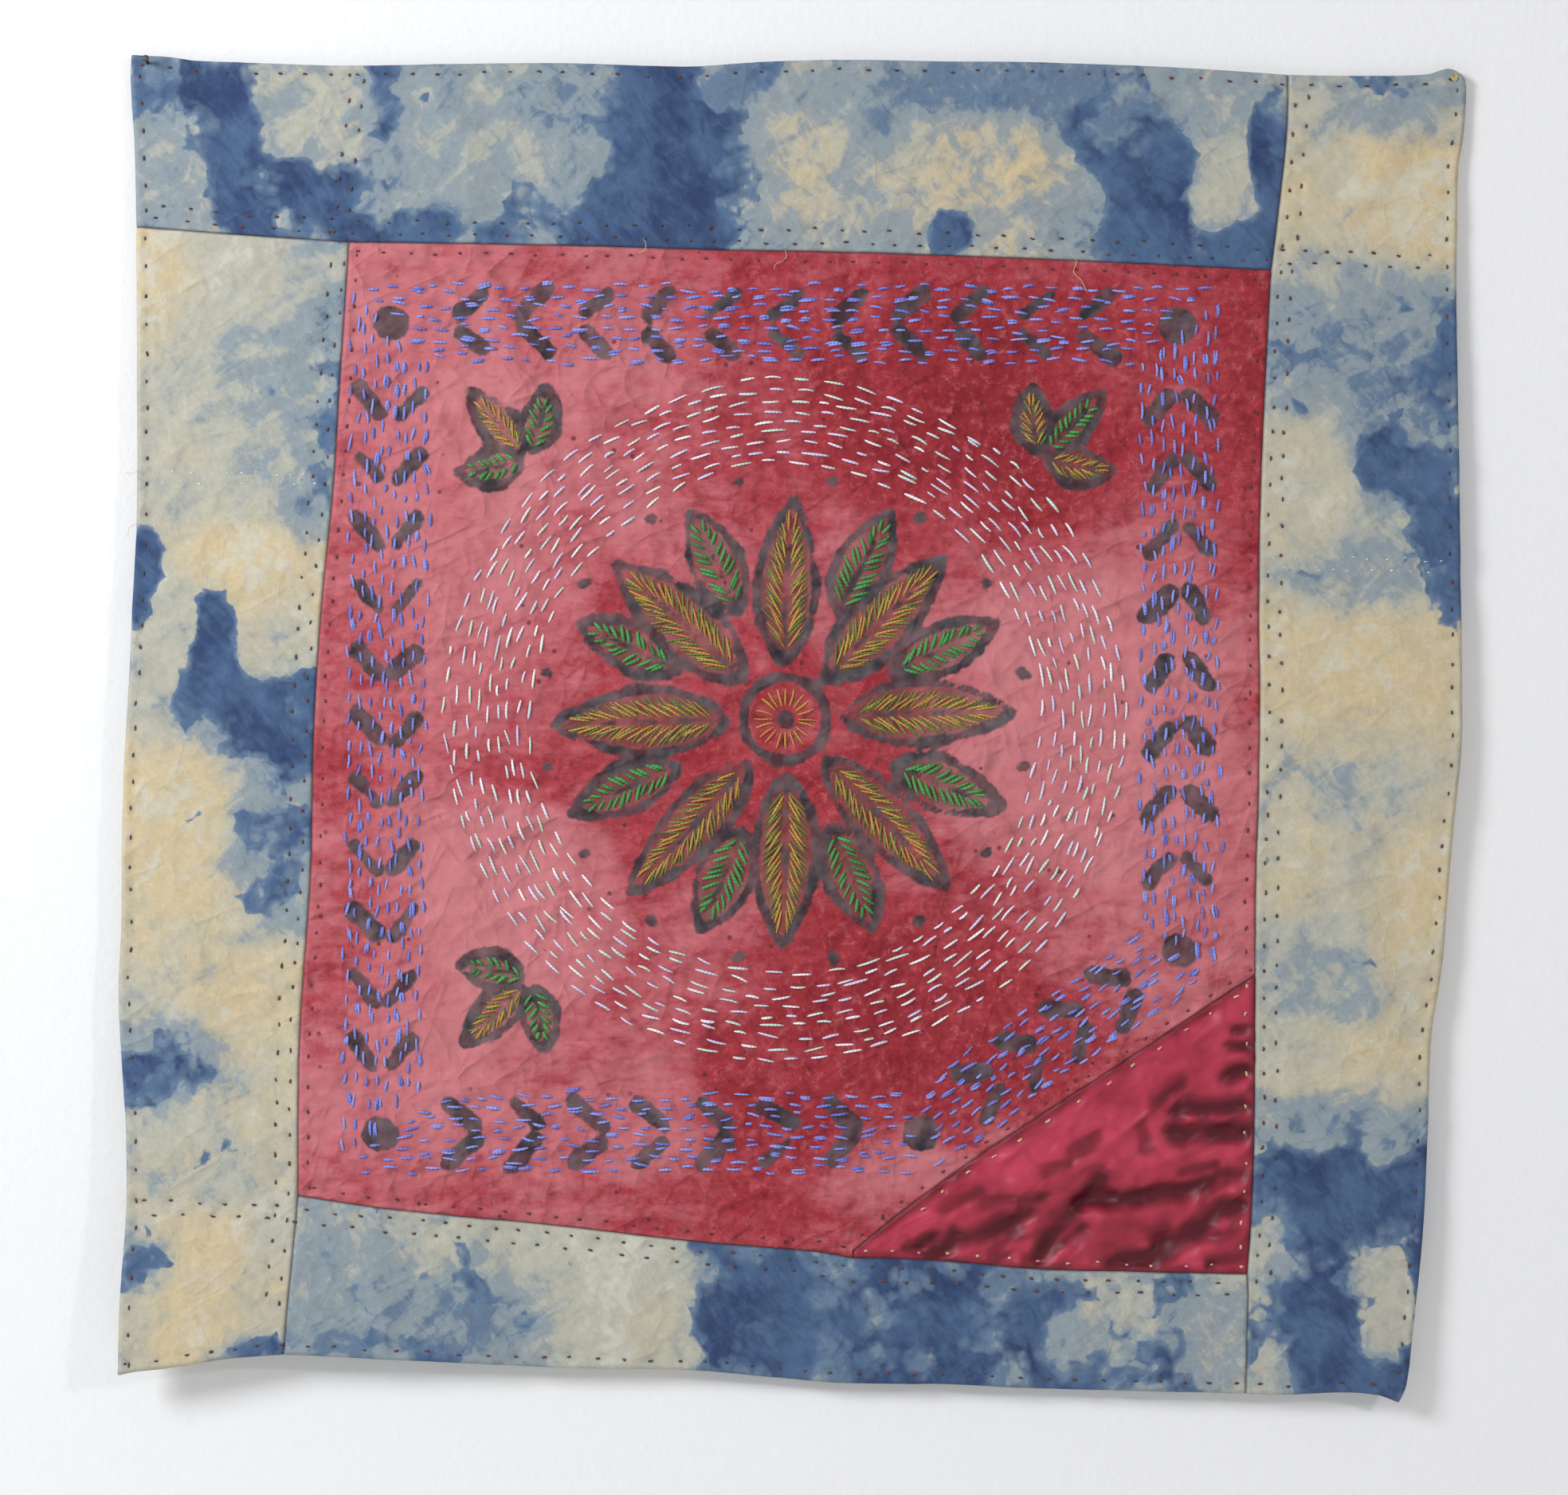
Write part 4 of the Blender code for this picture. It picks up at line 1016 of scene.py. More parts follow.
def nailMetal(name, bright, dark, roughness):
    material, w, shader = startMaterial(name, roughness, specular=0.5)
    shader.inputs["Metallic"].default_value = 1.0
    place = w.objectPlace()
    worn = w.noise(place, 900.0, 5.0, 0.65).outputs[0]
    w.put(shader.inputs["Base Color"], w.ramp(worn, [(0.35, dark), (0.6, bright)]))
    w.put(shader.inputs["Roughness"], w.remap(worn, 0.3, 0.7, roughness + 0.2, roughness))
    bump = w.node("ShaderNodeBump")
    bump.inputs["Distance"].default_value = 0.0001
    w.put(bump.inputs["Height"], w.noise(place, 2600.0, 3.0).outputs[0])
    w.put(shader.inputs["Normal"], bump.outputs[0])
    return material


# ---- Cloth pieces

def gridStops(length, spacing, crowd=(0.5, 1.1, 1.9, 3.0, 4.6)):
    # Shares of a length, close together near both ends where the edge is turned
    edge = np.array((0.0, *crowd))
    inner = length - 2 * crowd[-1]
    count = max(2, int(round(inner / spacing)))
    middle = crowd[-1] + inner * np.arange(1, count) / count
    return np.concatenate([edge, middle, (length - edge)[::-1]]) / length


def turnedEdge(d, kind):
    # How an edge falls away towards the wall, by the distance from it
    if kind == "hem":
        return -1.0 * np.exp(-((d / 1.1) ** 2)) + 0.45 * np.exp(-(((d - 3.4) / 2.6) ** 2))
    return -0.95 * np.exp(-((d / 1.0) ** 2)) + 0.25 * np.exp(-(((d - 3.0) / 2.4) ** 2))


def clothSheet(name, edges, kinds, size, spacing, attributes, materials):
    # edges: top, right, bottom, left, each a list of lines end to end
    stopsU, stopsV = gridStops(size[0], spacing), gridStops(size[1], spacing)
    top, bottom = joinedLine(edges["top"], stopsU), joinedLine(edges["bottom"], stopsU)
    left, right = joinedLine(edges["left"], stopsV), joinedLine(edges["right"], stopsV)
    u, v = stopsU[:, None, None], stopsV[None, :, None]
    places = (1 - v) * top[:, None] + v * bottom[:, None] + (1 - u) * left[None] + u * right[None]
    places -= (1 - v) * ((1 - u) * top[0] + u * top[-1]) + v * ((1 - u) * bottom[0] + u * bottom[-1])
    tall = np.hypot(*(top - bottom).T)[:, None]
    wide = np.hypot(*(left - right).T)[None, :]
    gaps = {
        "top": tall * stopsV[None, :], "bottom": tall * (1 - stopsV[None, :]),
        "left": wide * stopsU[:, None], "right": wide * (1 - stopsU[:, None]),
    }
    x, z = places[..., 0], places[..., 1]
    height = heightAt(x, z)
    for side, gap in gaps.items():
        height = height + turnedEdge(gap, kinds[side])
    nearest = np.minimum.reduce([gaps[s] if kinds[s] == "seam" else gaps[s] + 0.9 for s in gaps])

    bm = bmesh.new()
    nu, nv = len(stopsU), len(stopsV)
    bmesh.ops.create_grid(bm, x_segments=nu - 1, y_segments=nv - 1, size=0.5)
    mesh = bpy.data.meshes.new(name)
    bm.to_mesh(mesh)
    bm.free()
    flat = np.zeros(len(mesh.vertices) * 3, np.float32)
    mesh.vertices.foreach_get("co", flat)
    flat = flat.reshape(-1, 3)
    i = np.rint((flat[:, 0] + 0.5) * (nu - 1)).astype(int)
    j = np.rint((0.5 - flat[:, 1]) * (nv - 1)).astype(int)
    back = height[i, j]
    points = np.stack([x[i, j], -(back + clothThick), z[i, j]], axis=1) * mm
    mesh.vertices.foreach_set("co", points.astype(np.float32).ravel())
    values = {"edge": nearest[i, j], "hollow": mapAt(hollowMap, x[i, j], z[i, j])}
    for key, rule in attributes.items():
        values[key] = rule(x[i, j], z[i, j])
    for key, value in values.items():
        mesh.attributes.new(key, "FLOAT", "POINT").data.foreach_set("value", value.astype(np.float32))
    mesh.update()
    mesh.shade_smooth()
    obj = bpy.data.objects.new(name, mesh)
    bpy.context.scene.collection.objects.link(obj)
    for material in materials:
        mesh.materials.append(material)
    bm = bmesh.new()
    bm.from_mesh(mesh)
    bm.faces.ensure_lookup_table()
    if bm.faces[0].normal.y > 0:
        bmesh.ops.reverse_faces(bm, faces=bm.faces[:])
    bm.to_mesh(mesh)
    bm.free()
    solid = obj.modifiers.new("thickness", "SOLIDIFY")
    solid.thickness = (clothThick - 0.4) * mm
    solid.offset = -1.0
    solid.material_offset = 1
    solid.material_offset_rim = 0
    return obj


def blotField(blots, column, base):
    # A smooth field from listed blots, each x, z, radius across, radius down, then its values
    def rule(x, z):
        total, weight = np.full(np.shape(x), base * 0.12), np.full(np.shape(x), 0.12)
        for blot in blots:
            w = np.exp(-(((x - blot[0]) / blot[2]) ** 2 + ((z - blot[1]) / blot[3]) ** 2))
            total = total + w * blot[column]
            weight = weight + w
        return total / weight
    return rule


# x, z, radius across, radius down, indigo, blue-grey haze, cream
topBlots = [
    (-403, -11, 22, 14, 0.55, 0.8, 0.2), (-370, -24, 22, 24, 1.0, 0.5, 0), (-348, -69, 24, 26, 1.0, 0.5, 0),
    (-390, -61, 30, 34, 0.0, 0.35, 0.1), (-305, -26, 36, 32, 0.0, 0.15, 0.1), (-303, -74, 34, 18, 0.8, 0.6, 0),
    (-328, -88, 10, 10, 0.1, 0.1, 0), (-260, -24, 9, 30, 0.9, 0.6, 0), (-208, -49, 46, 42, 0.0, 0.3, 0.1),
    (-145, -29, 26, 34, 0.05, 0.6, 0), (-183, -85, 24, 12, 0.35, 0.5, 0), (-238, -96, 50, 10, 0.75, 0.7, 0),
    (-103, -89, 40, 20, 1.0, 0.5, 0), (-88, -44, 26, 40, 1.1, 0.5, 0), (-43, -49, 16, 22, 0.9, 0.5, 0),
    (-38, -9, 22, 14, 0.2, 0.9, 0), (-3, -49, 30, 36, 0.0, 0.1, 0.7), (47, -19, 30, 20, 0.1, 0.55, 0.1),
    (35, -79, 36, 26, 0.05, 0.3, 0.5), (117, -66, 44, 34, 0.0, 0.15, 1.1), (122, -11, 60, 14, 0.25, 0.9, 0),
    (95, -99, 10, 10, 1.0, 0.6, 0), (197, -34, 26, 18, 0.6, 0.9, 0), (217, -74, 24, 26, 1.0, 0.6, 0),
    (162, -89, 24, 16, 0.1, 0.5, 0.4), (267, -19, 30, 24, 0.05, 0.3, 0.1), (292, -49, 10, 26, 0.9, 0.6, 0),
    (265, -79, 16, 24, 0.0, 0.0, 0), (282, -109, 24, 14, 1.0, 0.6, 0), (242, -104, 14, 12, 0.8, 0.6, 0),
]
rightBlots = [
    (327, -24, 24, 24, 0.1, 0.5, 0.2), (382, -24, 32, 22, 0.15, 0.8, 0), (377, -74, 40, 34, 0.0, 0.0, 1.3),
    (332, -84, 24, 44, 0.0, 0.3, 0.7), (347, -144, 50, 24, 0.2, 0.75, 0), (347, -174, 50, 30, 0.32, 1.0, 0),
    (392, -194, 24, 30, 0.4, 1.05, 0), (372, -246, 22, 20, 0.62, 1.0, 0), (405, -294, 13, 28, 1.0, 0.6, 0),
    (317, -264, 24, 30, 0.0, 0.1, 0.5), (347, -314, 36, 22, 0.3, 0.8, 0), (347, -379, 60, 44, 0.0, 0.1, 1.1),
    (357, -449, 40, 36, 0.1, 0.6, 0.2), (392, -504, 28, 60, 0.0, 0.1, 1.0), (317, -494, 22, 30, 0.0, 0.2, 0.7),
    (327, -574, 24, 30, 0.15, 0.7, 0), (357, -614, 44, 26, 0.0, 0.2, 0.8), (342, -659, 50, 14, 0.4, 1.05, 0),
    (317, -699, 26, 24, 0.95, 0.6, 0), (367, -704, 36, 22, 0.9, 0.6, 0), (362, -769, 15, 26, 0.0, 0.2, 0),
    (322, -779, 26, 36, 0.8, 1.0, 0), (362, -811, 40, 14, 0.7, 0.8, 0), (292, -754, 12, 60, 0.15, 0.5, 0),
    (392, -754, 8, 40, 0.9, 0.6, 0),
]
leftBlots = [
    (-405, -129, 20, 34, 0.0, 0.0, 1.2), (-363, -134, 30, 30, 0.0, 0.12, 0.1), (-310, -129, 20, 24, 0.15, 0.55, 0),
    (-333, -184, 50, 36, 0.18, 0.7, 0), (-393, -184, 22, 40, 0.0, 0.35, 0.4), (-353, -249, 60, 24, 0.0, 0.35, 0.2),
    (-308, -254, 14, 30, 0.3, 0.9, 0), (-343, -314, 44, 26, 0.0, 0.05, 1.2), (-410, -316, 10, 22, 1.0, 0.6, 0),
    (-394, -349, 15, 30, 0.0, 0.3, 0), (-365, -349, 15, 30, 1.1, 0.6, 0), (-333, -349, 16, 26, 0.0, 0.4, 0.4),
    (-408, -399, 14, 24, 0.1, 0.4, 0.2), (-353, -399, 40, 20, 0.62, 1.05, 0), (-323, -424, 24, 20, 0.8, 0.8, 0),
    (-395, -459, 28, 40, 0.0, 0.1, 1.2), (-330, -479, 20, 40, 0.5, 1.0, 0), (-390, -529, 30, 20, 0.1, 0.3, 0.9),
    (-348, -574, 40, 26, 0.0, 0.25, 0.9), (-393, -619, 26, 22, 0.62, 1.0, 0), (-338, -629, 24, 34, 0.0, 0.3, 0.7),
    (-373, -679, 56, 26, 0.1, 0.45, 0.4), (-372, -768, 34, 26, 0.0, 0.15, 1.0), (-338, -766, 16, 20, 0.05, 0.5, 0.5),
    (-328, -726, 18, 20, 0.0, 0.2, 0.1), (-409, -744, 17, 17, 0.42, 1.0, 0.0), (-412, -790, 12, 16, 0.0, 0.4, 0.5),
    (-341, -797, 20, 8, 0.62, 1.0, 0.0), (-366, -724, 30, 14, 0.0, 0.2, 0.9), (-301, -196, 17, 62, 0.34, 1.05, 0.0),
]
bottomBlots = [
    (-288, -734, 34, 26, 0.1, 0.6, 0.1), (-283, -784, 40, 22, 0.28, 0.85, 0), (-203, -734, 36, 16, 0.0, 0.25, 0.1),
    (-198, -774, 44, 26, 0.3, 0.9, 0), (-123, -759, 40, 36, 0.0, -0.1, 0.15), (-83, -789, 20, 24, 0.0, 0.1, 0.5),
    (-38, -774, 30, 44, 0.72, 1.0, 0), (22, -784, 44, 40, 0.62, 1.0, 0), (87, -784, 40, 40, 0.78, 1.0, 0),
    (147, -774, 26, 36, 0.5, 0.9, 0), (197, -774, 30, 26, 0.2, 0.35, 0), (222, -804, 30, 16, 0.6, 0.9, 0),
    (262, -784, 18, 40, 0.12, 0.45, 0.1), (232, -764, 14, 16, 0.55, 0.8, 0),
]
# x, z, radius across, radius down, how deep the red is
redBlots = [
    (-223, -164, 70, 60, 0.22), (-128, -164, 70, 50, 0.38), (-53, -129, 60, 30, 0.60), (72, -194, 90, 60, 0.80),
    (142, -164, 70, 50, 0.78), (132, -234, 80, 34, 0.85), (197, -129, 50, 30, 0.70), (277, -179, 20, 90, 0.75),
    (-193, -304, 90, 70, 0.28), (-103, -364, 50, 40, 0.58), (47, -334, 70, 60, 0.45), (187, -369, 70, 70, 0.30),
    (-178, -404, 60, 40, 0.52), (-63, -434, 90, 50, 0.68), (22, -434, 60, 60, 0.75), (-183, -489, 60, 50, 0.22),
    (-123, -484, 50, 40, 0.66), (172, -464, 80, 60, 0.30), (142, -514, 60, 30, 0.50), (72, -574, 70, 60, 0.78),
    (22, -604, 80, 50, 0.72), (-78, -579, 90, 60, 0.45), (-203, -604, 110, 80, 0.25), (-288, -504, 20, 120, 0.50),
    (-253, -694, 70, 24, 0.38), (-103, -704, 110, 24, 0.55), (22, -719, 50, 16, 0.60), (72, -689, 40, 24, 0.30),
    (237, -554, 40, 50, 0.32),
]


# Where the dye stopped at a round rim: x, z, radius, softness, change inside
redRims = [
    (-172, -524, 66, 2.5, -0.26), (168, -408, 96, 5.0, -0.20), (-196, -250, 70, 7.0, -0.12),
    (88, -228, 78, 4.0, 0.14), (20, -600, 84, 5.0, 0.12), (-252, -640, 60, 6.0, -0.10),
]


def redDepth(x, z):
    depth = blotField(redBlots, 4, 0.4)(x, z)
    for rimX, rimZ, radius, soft, change in redRims:
        gap = np.hypot(x - rimX, z - rimZ) - radius
        depth = depth + change / (1 + np.exp(np.clip(gap / soft, -30, 30)))
    return depth


def paintReach(x, z):
    nearest = np.full(np.shape(x), 30.0)
    for route, half in brushLines:
        points = [tuple(p) for p in route]
        low, high = np.min(route, axis=0) - 16, np.max(route, axis=0) + 16
        close = (x > low[0]) & (x < high[0]) & (z > low[1]) & (z < high[1])
        if close.any():
            nearest[close] = np.minimum(nearest[close], distanceTo(points, x[close], z[close]) - half)
    return nearest


def leafWash(x, z):
    # 1 inside the painted leaves, fading at their sides
    share = np.zeros(np.shape(x))
    for rib, left, right in leafRoutes:
        fat = np.hypot(*(left - rib).T)
        low, high = np.min(rib, axis=0) - 22, np.max(rib, axis=0) + 22
        close = np.flatnonzero((x > low[0]) & (x < high[0]) & (z > low[1]) & (z < high[1]))
        gaps = np.hypot(x[close][:, None] - rib[None, :, 0], z[close][:, None] - rib[None, :, 1])
        nearest = gaps.argmin(axis=1)
        inside = np.clip((fat[nearest] - gaps.min(axis=1)) / 3.0, 0, 1)
        share[close] = np.maximum(share[close], inside)
    return share


def dyeRules(blots, base, hazier):
    haze = blotField(blots, 5, 0.5)
    return {"ink": blotField(blots, 4, base), "haze": lambda x, z: haze(x, z) + hazier, "warm": blotField(blots, 6, 0.2)}


strips = {
    "strip_top": {
        "edges": {"top": [topEdgeLeft], "right": [seamRightTop], "bottom": [seamTopLeft, seamTopMiddle], "left": [leftEdgeTop]},
        "kinds": {"top": "hem", "right": "seam", "bottom": "seam", "left": "hem"},
        "size": (724, 116), "blots": topBlots, "base": 0.4, "hazier": 0.22, "shift": (0.31, 0.0, 0.12), "node": "border_top",
        "slot": "indigo_cotton", "flat": (0.724, 0.122), "rests": ["nail_left"],
    },
    "strip_right": {
        "edges": {"top": [topEdgeRight], "right": [rightEdge], "bottom": [bottomEdgeRight],
                  "left": [seamRightTop, seamRightPanel, seamRightSatin, seamRightLow]},
        "kinds": {"top": "hem", "right": "hem", "bottom": "hem", "left": "seam"},
        "size": (118, 828), "blots": rightBlots, "base": 0.1, "hazier": -0.12, "shift": (1.7, 0.0, 0.9), "node": "border_right",
        "slot": "cream_blue_cotton", "flat": (0.128, 0.830), "rests": ["nail_right"],
    },
    "strip_bottom": {
        "edges": {"top": [seamBottomPanel, seamBottomSatin], "right": [seamRightLow], "bottom": [bottomEdgeMiddle],
                  "left": [seamLeftLow]},
        "kinds": {"top": "seam", "right": "seam", "bottom": "hem", "left": "seam"},
        "size": (598, 88), "blots": bottomBlots, "base": 0.2, "hazier": 0.0, "shift": (0.6, 0.0, 2.3), "node": "border_bottom",
        "slot": "mid_blue_cotton", "flat": (0.600, 0.100), "rests": ["strip_left", "strip_right"],
    },
    "strip_left": {
        "edges": {"top": [seamTopLeft], "right": [seamLeftPanel, seamLeftLow], "bottom": [bottomEdgeLeft], "left": [leftEdgeLow]},
        "kinds": {"top": "seam", "right": "seam", "bottom": "hem", "left": "hem"},
        "size": (118, 706), "blots": leftBlots, "base": 0.1, "hazier": -0.12, "shift": (2.9, 0.0, 1.4), "node": "border_left",
        "slot": "pale_blue_cotton", "flat": (0.133, 0.714), "rests": ["strip_top"],
    },
}
sheets = {}
for name, strip in strips.items():
    front = dyedCotton(name + "_cotton", strip["shift"])
    back = dyedCotton(name + "_cotton_back", strip["shift"], back=True)
    sheets[name] = clothSheet(name, strip["edges"], strip["kinds"], strip["size"], 2.3,
                              dyeRules(strip["blots"], strip["base"], strip["hazier"]), [front, back])
sheets["red_panel"] = clothSheet(
    "red_panel",
    {"top": [seamTopMiddle], "right": [seamRightPanel], "bottom": [seamBottomPanel, cornerTip[::-1], seamCorner],
     "left": [seamLeftPanel]},
    {"top": "seam", "right": "seam", "bottom": "seam", "left": "seam"},
    (590, 520), 2.6, {"deep": redDepth, "paint": paintReach, "wash": leafWash},
    [redCotton("red_cotton_front"), redCotton("red_cotton_back", back=True)],
)
sheets["satin_piece"] = clothSheet(
    "satin_piece",
    {"top": [seamCorner], "right": [seamRightSatin], "bottom": [seamBottomSatin], "left": [cornerTip]},
    {"top": "seam", "right": "seam", "bottom": "seam", "left": "seam"},
    (270, 180), 1.7, {"hollow": lambda x, z: mapAt(satinShadeMap, x, z)},
    [burgundySatin("satin_front"), burgundySatin("satin_back", back=True)],
)
print("cloth made:", {n: len(o.data.vertices) for n, o in sheets.items()})


# ---- Stitches

def threadTemplate(sides, rings):
    # One stitch along z from 0 to 1, radius 1, closed at both ends
    bm = bmesh.new()
    bmesh.ops.create_cone(bm, cap_ends=True, segments=sides, radius1=1, radius2=1, depth=1)
    long = [e for e in bm.edges if abs(e.verts[0].co.z - e.verts[1].co.z) > 0.5]
    bmesh.ops.subdivide_edges(bm, edges=long, cuts=rings - 2)
    bmesh.ops.translate(bm, verts=bm.verts[:], vec=(0, 0, 0.5))
    mesh = bpy.data.meshes.new("stitch_form")
    bm.to_mesh(mesh)
    bm.free()
    return mesh


def stitchMesh(name, stitches, thick, material, sides=6, rings=6, behind=False):
    # Every stitch is a copy of one short thread, bent over the cloth between its two ends
    form = threadTemplate(sides, rings)
    points = np.zeros(len(form.vertices) * 3)
    form.vertices.foreach_get("co", points)
    points = points.reshape(-1, 3)
    rows = np.array(stitches)
    count, each = len(rows), len(points)
    copies = bmesh.new()
    for _ in range(count):
        copies.from_mesh(form)
    mesh = bpy.data.meshes.new(name)
    copies.to_mesh(mesh)
    copies.free()
    bpy.data.meshes.remove(form)
    share = points[:, 2]
    a, b = rows[:, 0:2], rows[:, 2:4]
    across = a[:, None] + (b - a)[:, None] * share[None, :, None]
    direction = (b - a) / np.hypot(*(b - a).T)[:, None]
    sideways = np.stack([direction[:, 1], -direction[:, 0]], axis=1)
    ends = heightAt(a[:, 0], a[:, 1])[:, None] * (1 - share) + heightAt(b[:, 0], b[:, 1])[:, None] * share
    here = heightAt(across[..., 0], across[..., 1])
    radius = thick / 2 * (1 + 0.10 * rng.randn(count))[:, None]
    arch = np.clip(np.sin(np.pi * share), 0, 1)
    lift = np.sqrt(arch) * 1.25 - 0.75
    taper = 0.42 + 0.58 * arch**0.6
    if behind:
        depth = -(np.minimum(ends, here) + 0.4) + lift * radius
    else:
        depth = -(np.maximum(ends, here) + clothThick) - lift * radius
    bow = 0.35 * rng.randn(count)[:, None] * arch
    x = across[..., 0] + sideways[:, None, 0] * (points[None, :, 0] * radius * taper + bow)
    z = across[..., 1] + sideways[:, None, 1] * (points[None, :, 0] * radius * taper + bow)
    y = depth + points[None, :, 1] * radius * taper * 0.85
    mesh.vertices.foreach_set("co", (np.stack([x, y, z], axis=-1) * mm).astype(np.float32).ravel())
    tone = np.repeat(rng.rand(count), each)
    length = np.hypot(*(b - a).T)[:, None]
    rise = np.tile(np.stack([points[:, 0], points[:, 1], np.zeros(each)], axis=1), (count, 1))
    mesh.attributes.new("tone", "FLOAT", "POINT").data.foreach_set("value", tone.astype(np.float32))
    mesh.attributes.new("along", "FLOAT", "POINT").data.foreach_set(
        "value", (length * share[None]).ravel().astype(np.float32))
    mesh.attributes.new("round", "FLOAT_VECTOR", "POINT").data.foreach_set("vector", rise.astype(np.float32).ravel())
    mesh.update()
    mesh.shade_smooth()
    mesh.materials.append(material)
    obj = bpy.data.objects.new(name, mesh)
    bpy.context.scene.collection.objects.link(obj)
    return obj


def backOf(stitches):
    # The thread's runs on the back, from each stitch's end to the next one's start
    out = []
    for a, b in zip(stitches, stitches[1:]):
        if 2.0 < math.dist(a[2:], b[:2]) < 24.0:
            out.append((*a[2:], *b[:2]))
    return out


darkThread = threadMaterial("thread_dark", [(58, 44, 46), (86, 50, 50), (66, 60, 60), (112, 38, 46)])
redThread = threadMaterial("thread_red", [(84, 28, 36), (108, 36, 46), (66, 30, 34)])
creamThread = threadMaterial("thread_cream", [(206, 180, 140), (196, 176, 130), (224, 120, 160)])
blueThread = threadMaterial("thread_blue", [(96, 104, 196), (118, 130, 218), (142, 152, 228), (104, 104, 190)])
whiteThread = threadMaterial("thread_white", [(236, 230, 240), (206, 194, 230), (196, 218, 206), (246, 242, 246)])
goldThread = threadMaterial("thread_gold", [(196, 146, 46), (188, 118, 50), (174, 152, 48)])
oliveThread = threadMaterial("thread_olive", [(112, 122, 40), (74, 104, 42), (136, 130, 44)])
greenThread = threadMaterial("thread_green", [(50, 130, 58), (64, 150, 70), (42, 108, 50)])

stitchSets = {
    "stitches_hem": {"rows": darkStitches, "thick": 1.5, "material": darkThread, "sides": 6, "rings": 5},
    "stitches_inner": {"rows": redStitches, "thick": 1.4, "material": redThread, "sides": 6, "rings": 5},
    "stitches_satin": {"rows": creamStitches, "thick": 1.8, "material": creamThread, "sides": 6, "rings": 5},
    "stitches_blue": {"rows": blueStitches, "thick": 1.8, "material": blueThread, "sides": 6, "rings": 6},
    "stitches_white": {"rows": whiteStitches, "thick": 1.7, "material": whiteThread, "sides": 6, "rings": 6},
    "stitches_pricks": {"rows": prickStitches, "thick": 0.9, "material": whiteThread, "sides": 5, "rings": 4},
    "stitches_olive": {"rows": oliveStitches, "thick": 1.4, "material": oliveThread, "sides": 5, "rings": 6},
    "stitches_gold": {"rows": goldStitches, "thick": 1.5, "material": goldThread, "sides": 6, "rings": 6},
    "stitches_green": {"rows": greenStitches, "thick": 2.3, "material": greenThread, "sides": 6, "rings": 6},
}
sewn = {}
for name, s in stitchSets.items():
    sewn[name] = stitchMesh(name, s["rows"], s["thick"], s["material"], s["sides"], s["rings"])
behindSets = {
    "reverse_hem": (backOf(darkStitches), 1.4, darkThread),
    "reverse_blue": (backOf(blueStitches), 1.3, blueThread),
    "reverse_white": (backOf(whiteStitches), 1.3, whiteThread),
    "reverse_green": (greenStitches[::2], 1.4, greenThread),
    "reverse_olive": (oliveStitches[::2], 1.3, oliveThread),
}
for name, (rows, thick, material) in behindSets.items():
    sewn[name] = stitchMesh(name, rows, thick, material, 4, 4, behind=True)

threadEnds = {
    "tails": [
        [(-99, -104), (-97, -108), (-98, -112), (-102, -114)],
        [(-10, -112), (-9, -116), (-12, -119), (-16, -121), (-17, -124)],
        [(168, -114), (172, -119), (170, -126), (175, -131), (178, -138)],
        [(-414, -250), (-418, -252), (-421, -251)],
        [(-415, -283), (-419, -286), (-420, -291)],
    ],
    "thick": 0.35,
}


def tailMesh(name, tails, thick, material):
    parts = bmesh.new()
    for tail in tails:
        route = smoothLine(tail, np.linspace(0, 1, 14))
        lift = np.linspace(0.0, 2.6, 14) + 0.4 * np.sin(np.linspace(0, 5, 14))
        curve = bpy.data.curves.new("tail", "CURVE")
        curve.dimensions = "3D"
        curve.bevel_depth = thick * mm / 2
        curve.bevel_resolution = 1
        curve.use_fill_caps = True
        spline = curve.splines.new("POLY")
        spline.points.add(len(route) - 1)
        for point, (x, z), up in zip(spline.points, route, lift):
            y = -(float(heightAt(x, z)) + clothThick + up)
            point.co = (x * mm, y * mm, z * mm, 1)
        holder = bpy.data.objects.new("tail", curve)
        bpy.context.scene.collection.objects.link(holder)
        made = bpy.data.meshes.new_from_object(holder.evaluated_get(bpy.context.evaluated_depsgraph_get()))
        parts.from_mesh(made)
        bpy.data.objects.remove(holder, do_unlink=True)
        bpy.data.meshes.remove(made)
    bmesh.ops.remove_doubles(parts, verts=parts.verts[:], dist=0.00002)
    bmesh.ops.recalc_face_normals(parts, faces=parts.faces[:])
    mesh = bpy.data.meshes.new(name)
    parts.to_mesh(mesh)
    parts.free()
    mesh.attributes.new("tone", "FLOAT", "POINT")
    mesh.materials.append(material)
    mesh.shade_smooth()
    obj = bpy.data.objects.new(name, mesh)
    bpy.context.scene.collection.objects.link(obj)
    return obj


sewn["thread_ends"] = tailMesh("thread_ends", threadEnds["tails"], threadEnds["thick"], creamThread)
print("stitches made:", {n: len(o.data.polygons) for n, o in sewn.items()})

# ---- What stands for which solid

for name, strip in strips.items():
    obj = sheets[name]
    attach(obj, "root")
    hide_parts(strip["node"])
    rests = [r for r in strip["rests"]]
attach(sheets["red_panel"], "root")
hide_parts("centre_panel")
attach(sheets["satin_piece"], "root")
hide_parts("satin_corner")
for obj in sewn.values():
    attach(obj, "root")

steel = nailMetal("steel_worn", srgb(104, 98, 96), srgb(56, 50, 48), 0.42)
brass = nailMetal("brass_bright", srgb(236, 214, 160), srgb(176, 138, 78), 0.20)
for node, metal in (("nail_left", steel), ("nail_right", brass)):
    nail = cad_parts[node]
    nail.data.materials.clear()
    nail.data.materials.append(metal)

# ---- Room, light and camera

room = {"wallWhite": srgb(221, 221, 223), "floorWhite": srgb(226, 226, 222), "floorZ": -1.35, "wide": 7.0}


